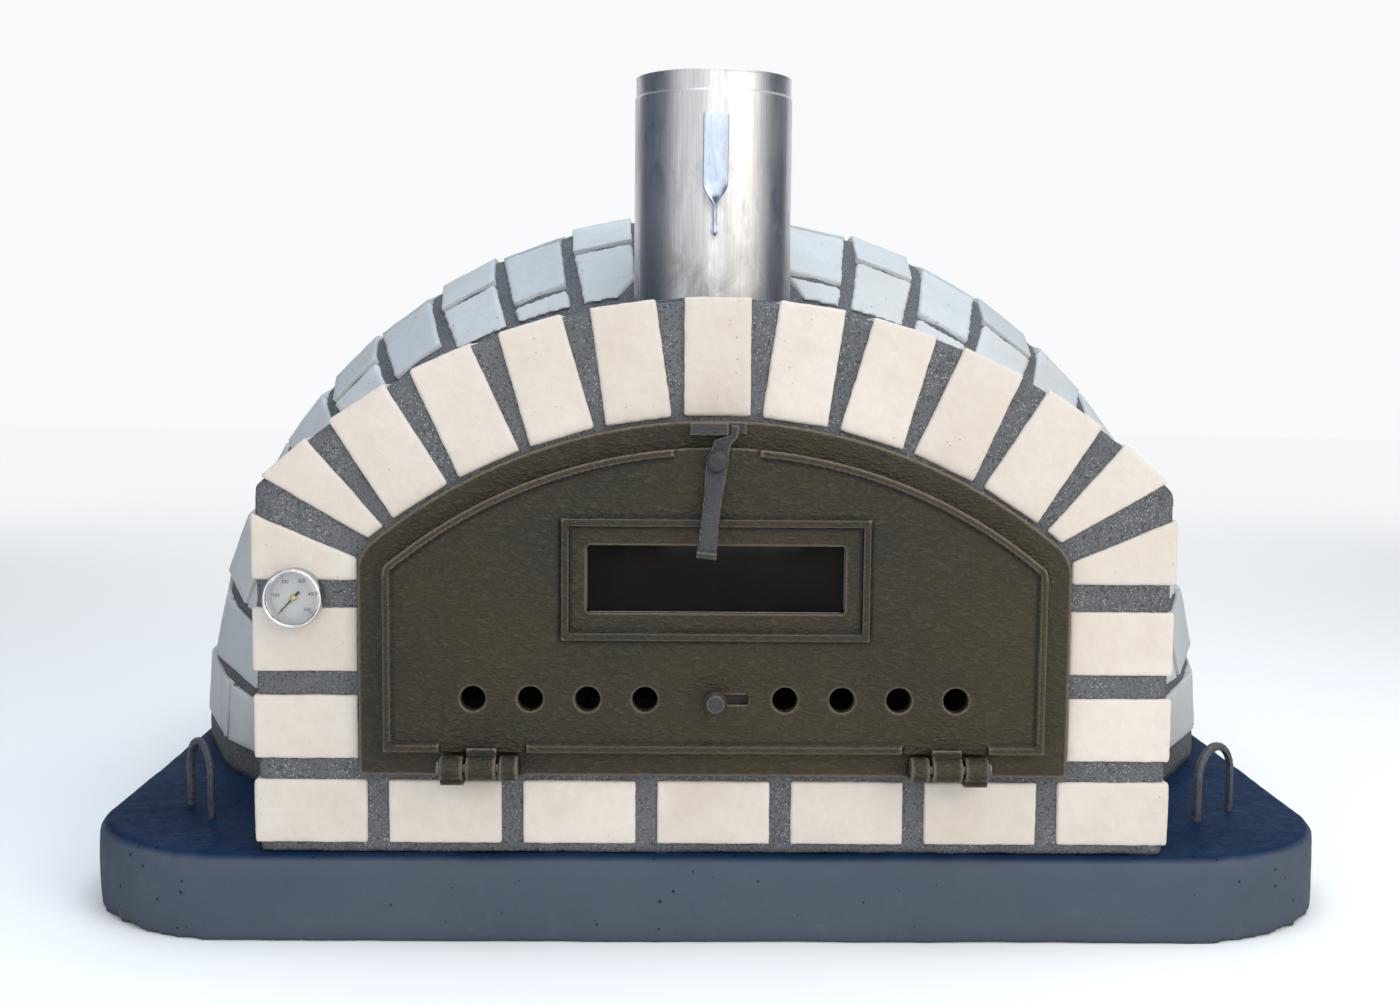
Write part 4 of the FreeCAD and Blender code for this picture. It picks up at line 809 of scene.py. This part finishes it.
def makeDomeMortar():
    low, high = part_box("dome_mortar")
    radius = (high.x - low.x) / 2
    centre = high.z - radius
    sink = math.asin((centre - low.z) / radius)
    rows = round(radius * (math.pi / 2 + sink) / dome["mortarGrain"])
    outside = arc(0, 0, radius, -sink, math.pi / 2, rows)
    inside = [(x, max(z, low.z - centre)) for x, z in
              arc(0, 0, radius - dome["skin"], math.pi / 2, -sink, dome["innerSteps"])]
    segments = round(2 * math.pi * radius / dome["mortarGrain"])
    piece = turned("dome_mortar_bed", outside + inside, segments, (0, 0, centre))
    followBricks(piece, Vector((0, 0, centre)), radius - dome["under"])
    wall = [(-1, -1), (1, -1), (1, 1), (-1, 1)]
    carve(piece, prism("front", wall, -1.0, low.y + dome["frontGap"]))
    carve(piece, hullOf("vault", "entry_vault", dome["fitGap"]))
    carve(piece, hullOf("collar", "flue_collar", dome["fitGap"]))
    roughen(piece, dome["waves"], dome["sand"])
    finishPiece(settle(piece), mortar, "dome_mortar")


makeDomeBricks()
makeDomeMortar()
print("dome is clad")


# door, frame and ironwork

iron = {"grain": 0.0015, "rounds": 1, "keep": 0.5,
        "smallGrain": 0.0008, "smallRounds": 4, "smallBeat": (0.004, 0.00012),
        "pinEdge": 0.0006, "plateEdge": 0.0003}
lever = {"height": 0.441, "lean": 6.7, "start": 0.012, "end": 0.090, "waist": 0.16, "half": 0.0095,
         "round": 0.0016, "roundFrom": 6, "curlStart": 0.070, "curl": 0.0045}


def forgeLever(piece):
    # a slight waist, rounded long edges and a tip that curls outwards
    lean = math.radians(lever["lean"])
    down = Vector((-math.sin(lean), 0, -math.cos(lean)))
    side = Vector((math.cos(lean), 0, -math.sin(lean)))
    pivot = Vector((0, 0, lever["height"]))
    for vertex in piece.data.vertices:
        away = vertex.co - pivot
        along, across = away.dot(down), away.dot(side)
        share = shareOf(along, lever["start"], lever["end"])
        vertex.co -= side * across * lever["waist"] * math.sin(math.pi * share)
        edge = min(abs(across) / lever["half"], 1) ** 4 * min(share * lever["roundFrom"], 1)
        vertex.co.y += lever["round"] * edge * (1 if vertex.normal.y < 0 else 0)
        tip = max((along - lever["curlStart"]) / (lever["end"] - lever["curlStart"]), 0)
        vertex.co.y -= lever["curl"] * tip * tip


def makeIron():
    for name, node in (("cast_frame", "door_frame"), ("cast_leaf", "door_leaf")):
        piece = castCopy(name, iron["grain"], iron["rounds"], node)
        giveWearAndLight(settle(piece))
        modify(piece, "DECIMATE", ratio=iron["keep"])
        finishPiece(settle(piece), castIron, node)
    small = {"cast_lever": "latch_lever", "cast_catch": "latch_catch", "cast_bolt": "latch_bolt",
             "cast_knob": "vent_knob"}
    for name, node in small.items():
        piece = castCopy(name, iron["smallGrain"], iron["smallRounds"], node)
        if node == "latch_lever":
            forgeLever(settle(piece))
        roughen(piece, iron["smallBeat"])
        giveWearAndLight(settle(piece))
        finishPiece(piece, smallIron, node)
    for side in ("left", "right"):
        node = "hinge_pin_" + side
        finishPiece(softCopy("turned_pin_" + side, iron["pinEdge"], node), pinSteel, node)
    plates = {"glass_retainer": blackPlate, "vent_slider": blackPlate, "vent_guide_upper": blackPlate,
              "vent_guide_lower": blackPlate, "window_gasket": gasketWeave, "window_glass": windowGlass}
    for node, finish in plates.items():
        finishPiece(softCopy(node + "_plate", iron["plateEdge"], node), finish, node, smooth=False)
    paint(screwSteel, "retainer_screws")


makeIron()
print("door is hung")


# flue, damper and handle

flue = {
    "segments": 160, "wall": 0.0015, "rows": 24, "step": 0.0012, "spigot": 0.022, "swage": 0.004,
    "swageRows": 6, "lip": 0.004, "roll": 0.0009, "rollOut": 0.0002, "seam": 0.0006, "seamWidth": 0.03,
    "spindle": 0.00405, "crease": 50.0,
    "beadGrain": 0.002, "beadRounds": 2, "beadWaves": (0.02, 0.0012), "beadSand": (0.007, 0.0006),
}


def seam(angle, height):
    # a low weld line up the back of the flue
    away = (angle - math.pi / 2 + math.pi) % (2 * math.pi) - math.pi
    return flue["seam"] * math.exp(-(away / flue["seamWidth"]) ** 2)


def makeFlue():
    low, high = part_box("flue_pipe")
    spindleLow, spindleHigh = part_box("damper_spindle")
    x, y = (high.x + low.x) / 2, (high.y + low.y) / 2
    radius = (high.x - low.x) / 2
    neck = radius - flue["step"]
    foot = high.z - flue["spigot"]
    wall, roll, ease = flue["wall"], flue["roll"], flue["swage"] / 2
    outside = [(radius, low.z + (foot - low.z) * k / flue["rows"]) for k in range(flue["rows"] + 1)]
    for k in range(1, flue["swageRows"] + 1):
        share = k / flue["swageRows"]
        outside.append((radius - flue["step"] * eased(share), foot + flue["swage"] * share))
    outside += [(neck, high.z - flue["lip"]), (neck, high.z - 2 * roll)]
    rim = arc(neck - wall / 2, high.z - roll, roll + flue["rollOut"], 0, math.pi, 8, roll)
    inside = [(neck - wall, high.z - 2 * roll), (neck - wall, foot + ease), (radius - wall, foot - ease),
              (radius - wall, low.z)]
    piece = turned("flue", outside + rim + inside, flue["segments"], (x, y, 0), wave=seam)
    rod = [(0, 0), (flue["spindle"], 0), (flue["spindle"], 2.0), (0, 2.0)]
    carve(piece, turned("spindle_hole", rod, 32, (x, -1.0, (spindleLow.z + spindleHigh.z) / 2), False))
    finishPiece(piece, stainless, "flue_pipe")
    piece.data.set_sharp_from_angle(angle=math.radians(flue["crease"]))
    bead = castCopy("flue_bead", flue["beadGrain"], flue["beadRounds"], "flue_mortar_bead")
    roughen(bead, flue["beadWaves"], flue["beadSand"])
    finishPiece(settle(bead), mortar, "flue_mortar_bead")


handle = {"thick": 0.0042, "slim": 0.0105, "wide": 0.0245, "tail": 0.024, "twist": 0.028, "lean": 13.0,
          "foot": 0.012, "top": 0.001, "stations": 64, "around": 20, "flat": (0.28, 0.45),
          "lowEnd": (0.25, 0.003), "highEnd": (0.35, 0.0025)}


def strapSection(width, thick, angle, count):
    # a flat bar's section with round edges, turned about the strap's own line
    flatX, flatY = handle["flat"]
    points = []
    for k in range(count):
        a = 2 * math.pi * (k + 0.5) / count
        c, s = math.cos(a), math.sin(a)
        x = width / 2 * math.copysign(abs(c) ** flatX, c)
        y = thick / 2 * math.copysign(abs(s) ** flatY, s)
        points.append((x * math.cos(angle) - y * math.sin(angle), x * math.sin(angle) + y * math.cos(angle)))
    return points


def makeHandle():
    low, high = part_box("damper_handle")
    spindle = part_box("damper_spindle")
    foot = Vector(((low.x + high.x) / 2, spindle[0].y - handle["slim"] / 2, low.z))
    straight, stations, around = handle["foot"], handle["stations"], handle["around"]
    lean = math.radians(handle["lean"])
    up = Vector((0, -math.sin(lean), math.cos(lean)))
    length = straight + (high.z - low.z - straight) / math.cos(lean) - handle["top"]
    twistStart = straight + handle["tail"] * 0.5
    corners, faces = [], []
    for k in range(stations + 1):
        along = k / stations * length
        leaning = lean if along >= straight else 0
        spot = foot + Vector((0, 0, min(along, straight))) + up * max(along - straight, 0)
        ease = eased(shareOf(along, twistStart, twistStart + handle["twist"]))
        width = handle["slim"] + (handle["wide"] - handle["slim"]) * ease
        ends = min(1.0, *(least + away / reach for (least, reach), away in
                          ((handle["lowEnd"], along), (handle["highEnd"], length - along))))
        section = strapSection(width * ends, handle["thick"] * ends, math.pi / 2 * (1 - ease), around)
        corners += [spot + Vector((x, y * math.cos(leaning), y * math.sin(leaning))) for x, y in section]
    for k in range(stations):
        for j in range(around):
            m = (j + 1) % around
            faces.append([k * around + j, k * around + m, (k + 1) * around + m, (k + 1) * around + j])
    faces += [list(range(around)), list(range(stations * around, (stations + 1) * around))]
    finishPiece(pointOut(pieceFrom("strap_handle", corners, faces)), skyBlueHandleSteel, "damper_handle")


damper = {
    "damper_disc": ("damper_plate", 0.0006, stainless), "damper_axle": ("damper_spindle", 0.0008, skyBlueHandleSteel),
    "damper_disc_screws": ("damper_screws", 0.0005, screwSteel),
}

makeFlue()
makeHandle()
for name, (node, edge, finish) in damper.items():
    finishPiece(softCopy(name, edge, node), finish, node)
print("flue and damper are fitted")


# thermometer

gauge = {"zero": -137.0, "sweep": 270.0, "steps": 50, "tick": 0.0016, "longTick": 0.0028,
         "tickWidth": 0.00022, "tickThick": 0.00006,
         "tickRadius": 0.0205, "numberRadius": 0.0152, "numberSize": 0.0042, "hub": 0.0027,
         "hubTall": 0.0013, "proud": 0.00004, "inkThick": 0.00003, "numbers": 6, "each": 100,
         "edge": 0.001, "dialThick": 0.001, "dialBevel": 0.0004, "lensGap": 0.0002, "lensWall": 0.0012,
         "lensRise": 0.0009, "bezel": 0.0042, "bezelIn": 0.0062}


def tickTree():
    # short ticks round an arc, every tenth one long and wide
    tree, given = newTree("dial ticks", "Ticks", {
        "Base": "Geometry", "Steps": "Int", "Start": "Float", "Sweep": "Float", "Radius": "Float",
        "Length": "Float", "Long": "Float", "Width": "Float", "Thick": "Float", "Centre": "Vector",
        "Finish": "Material",
    })
    count = sums(tree, "ADD", given["Steps"], 1)
    index = put(tree, "GeometryNodeInputIndex").outputs[0]
    share = sums(tree, "DIVIDE", index, given["Steps"])
    angle = sums(tree, "ADD", given["Start"], sums(tree, "MULTIPLY", share, given["Sweep"]))
    isLong = sums(tree, "LESS_THAN", sums(tree, "MODULO", index, 10.0), 0.5)
    extra = sums(tree, "MULTIPLY", isLong, sums(tree, "SUBTRACT", given["Long"], given["Length"]))
    length = sums(tree, "ADD", given["Length"], extra)
    reach = sums(tree, "SUBTRACT", given["Radius"], sums(tree, "MULTIPLY", length, 0.5))
    x = sums(tree, "MULTIPLY", sums(tree, "SINE", angle, 0.0), reach)
    z = sums(tree, "MULTIPLY", sums(tree, "COSINE", angle, 0.0), reach)
    offset = put(tree, "ShaderNodeCombineXYZ", {0: x, 2: z}).outputs[0]
    spot = put(tree, "ShaderNodeVectorMath", {0: offset, 1: given["Centre"]}, operation="ADD").outputs[0]
    dots = put(tree, "GeometryNodePoints", {"Count": count, "Position": spot}).outputs[0]
    cube = put(tree, "GeometryNodeMeshCube", {"Size": (1.0, 1.0, 1.0)}).outputs[0]
    turn = put(tree, "ShaderNodeCombineXYZ", {1: angle}).outputs[0]
    wide = sums(tree, "ADD", given["Width"], sums(tree, "MULTIPLY", isLong, given["Width"]))
    size = put(tree, "ShaderNodeCombineXYZ", {0: wide, 1: given["Thick"], 2: length}).outputs[0]
    ticks = put(tree, "GeometryNodeInstanceOnPoints", {
        "Points": dots, "Instance": cube, "Rotation": turn, "Scale": size}).outputs[0]
    return closeTree(tree, ticks, given["Finish"])


def makeNumbers(centre, face):
    bm = bmesh.new()
    for k in range(gauge["numbers"]):
        text = bpy.data.curves.new("number", "FONT")
        text.body = str(gauge["each"] * k)
        text.size = gauge["numberSize"]
        text.align_x = text.align_y = "CENTER"
        text.extrude = gauge["inkThick"]
        text.resolution_u = 3
        holder = newPiece("number", text)
        bpy.context.view_layer.update()
        flat = bpy.data.meshes.new_from_object(holder.evaluated_get(bpy.context.evaluated_depsgraph_get()))
        angle = math.radians(gauge["zero"] + gauge["sweep"] * k / (gauge["numbers"] - 1))
        spot = Vector((centre.x + gauge["numberRadius"] * math.sin(angle), face,
                       centre.z + gauge["numberRadius"] * math.cos(angle)))
        flat.transform(Matrix.Translation(spot) @ Matrix.Rotation(math.radians(90), 4, "X"))
        bm.from_mesh(flat)
        bpy.data.objects.remove(holder)
    bmesh.ops.remove_doubles(bm, verts=bm.verts, dist=mergeGap / 100)
    piece = newPiece("dial_numbers", meshFrom("dial_numbers", bm))
    finishPiece(piece, needleEnamel, body="oven", slot="needle", smooth=False)


def makeGauge():
    low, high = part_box("thermometer_case")
    dialLow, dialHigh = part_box("thermometer_dial")
    centre = (low + high) / 2
    radius, deep = (high.x - low.x) / 2, high.y - low.y

    def spin(name, profile, segments, back, finish, *nodeNames, **riding):
        piece = turned(name, profile, segments, (centre.x, back, centre.z), False)
        finishPiece(piece, finish, *nodeNames, **riding)

    bezel, front = gauge["bezel"], -deep + gauge["bezel"]
    case = [(0, 0), (radius - 0.0015, 0), (radius - 0.0008, -0.0012), (radius - 0.0008, -deep * 0.62)]
    case += arc(radius - 0.002, front, 0.002, 0, math.pi, 8, -bezel)
    case += [(radius - bezel, -deep + 0.0030), (radius - bezel, -gauge["bezelIn"]), (0, -gauge["bezelIn"])]
    spin("gauge_case", case, 128, high.y, gaugeSteel, "thermometer_case")
    disc, thick = (dialHigh.x - dialLow.x) / 2 - gauge["edge"], gauge["dialThick"]
    dial = [(0, 0), (disc, 0), (disc, -0.0006), (disc - gauge["dialBevel"], -thick), (0, -thick)]
    spin("gauge_dial", dial, 96, dialHigh.y, dialEnamel, "thermometer_dial")
    wide, wall, rise = disc - gauge["lensGap"], gauge["lensWall"], gauge["lensRise"]
    lens = [(0, 0), (wide, 0), (wide, -wall)]
    lens += [(wide * (1 - k / 8), -wall - rise * math.sin(math.pi / 2 * k / 8)) for k in range(1, 9)]
    spin("gauge_lens", lens, 96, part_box("thermometer_lens")[1].y, lensGlass, "thermometer_lens")
    face = dialLow.y - gauge["proud"]
    ticks = newPiece("dial_ticks", bpy.data.meshes.new("dial_ticks"))
    grow(ticks, tickTree(), {
        "Steps": gauge["steps"], "Start": math.radians(gauge["zero"]), "Sweep": math.radians(gauge["sweep"]),
        "Radius": gauge["tickRadius"], "Length": gauge["tick"], "Long": gauge["longTick"],
        "Width": gauge["tickWidth"], "Thick": gauge["tickThick"], "Centre": (centre.x, face, centre.z),
        "Finish": needleEnamel,
    })
    finishPiece(ticks, needleEnamel, body="oven", slot="needle", smooth=False)
    makeNumbers(centre, face)
    hub = [(0, 0)] + arc(0, 0, gauge["hub"], 0, math.pi / 2, 8, -gauge["hubTall"])
    spin("needle_hub", hub, 32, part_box("thermometer_pointer")[0].y, brass, body="pointer", slot="needle")
    paint(needleEnamel, "thermometer_pointer")
    paint(gaugeSteel, "thermometer_probe")


makeGauge()
print("thermometer is set")


# hearth and lining

paint(boardFinish, "hearth_insulation")
paint(blanketFinish, "insulation_blanket")
paint(refractory, "refractory_dome", "entry_vault", "flue_collar")
tiles = softCopy("hearth_tiles_worn", 0.0012, "hearth_tiles")
finishPiece(tiles, hearthFinish, "hearth_tiles", smooth=False)
print("hearth is laid")


# floor, light and camera

studio = {
    "floor": rgb(0.97, 0.97, 0.97), "sky": rgb(0.975, 0.985, 1.0), "skyLight": 0.97,
    "lights": [
        ("key", (1.9, -2.5, 1.7), (0, -0.4, 0.35), 1.5, 24.0, (1.0, 0.87, 0.70)),
        ("top", (0.2, -0.9, 2.7), (0, -0.3, 0.4), 2.4, 30.0, (0.58, 0.79, 1.0)),
        ("strip", (0.12, -3.3, 1.2), (0.12, -0.4, 0.7), (0.35, 2.4), 9.0, (1.0, 0.98, 0.95)),
    ],
    "cards": [((-1.6, -1.2), (-2.7, 2.3), 2.6), ((2.1, -0.9), (2.9, 2.5), 2.2)],
    "card": rgb(0.07, 0.095, 0.13),
}


def hangLamp(name, spot, aim, size, power, colour):
    # a round lamp, or a rectangular one where the size is a pair
    lamp = bpy.data.lights.new(name, "AREA")
    lamp.shape = "RECTANGLE" if isinstance(size, tuple) else "DISK"
    if lamp.shape == "RECTANGLE":
        lamp.size, lamp.size_y = size
    else:
        lamp.size = size
    lamp.energy = power
    lamp.color = colour
    holder = newPiece(name, lamp)
    holder.location = spot
    holder.rotation_euler = (Vector(aim) - Vector(spot)).to_track_quat("-Z", "Y").to_euler()


def makeStudio():
    floor = pieceFrom("floor", [(-9, -9, 0), (9, -9, 0), (9, 9, 0), (-9, 9, 0)], [(0, 1, 2, 3)])
    floor.data.materials.append(newFinish("pale floor", rough=0.9, shine=0.1, colour=studio["floor"])[0])
    shade = newFinish("shade card", rough=0.95, shine=0.1, colour=studio["card"])[0]
    for near, far, tall in studio["cards"]:
        spots = [(*near, 0), (*far, 0), (*far, tall), (*near, tall)]
        card = pieceFrom("shade_card", spots, [(0, 1, 2, 3)])
        card.data.materials.append(shade)
        card.visible_camera = False  # only shades and mirrors
    bpy.context.scene.view_settings.view_transform = "Standard"
    world = bpy.data.worlds.new("studio")
    bpy.context.scene.world = world
    world.use_nodes = True
    back = world.node_tree.nodes["Background"]
    back.inputs["Color"].default_value = studio["sky"]
    back.inputs["Strength"].default_value = studio["skyLight"]
    for light in studio["lights"]:
        hangLamp(*light)


view = {"spot": (-0.0396, -2.124, 0.538), "yaw": -0.0166, "pitch": 0.0964, "roll": -0.0088, "lens": 43.78,
        "rise": 0.00886}


def makeCamera():
    data = bpy.data.cameras.new("view")
    data.sensor_fit = "HORIZONTAL"
    data.sensor_width = 36.0
    data.lens = view["lens"]
    data.shift_y = view["rise"]
    camera = newPiece("view", data)
    turn = Matrix.Rotation(view["yaw"], 4, "Z") @ Matrix.Rotation(-view["pitch"], 4, "X")
    turn = turn @ Matrix.Rotation(view["roll"], 4, "Y") @ Matrix.Rotation(math.pi / 2, 4, "X")
    camera.matrix_world = Matrix.Translation(view["spot"]) @ turn
    bpy.context.scene.camera = camera


makeStudio()
makeCamera()
print("studio is lit")

bpy.context.view_layer.update()
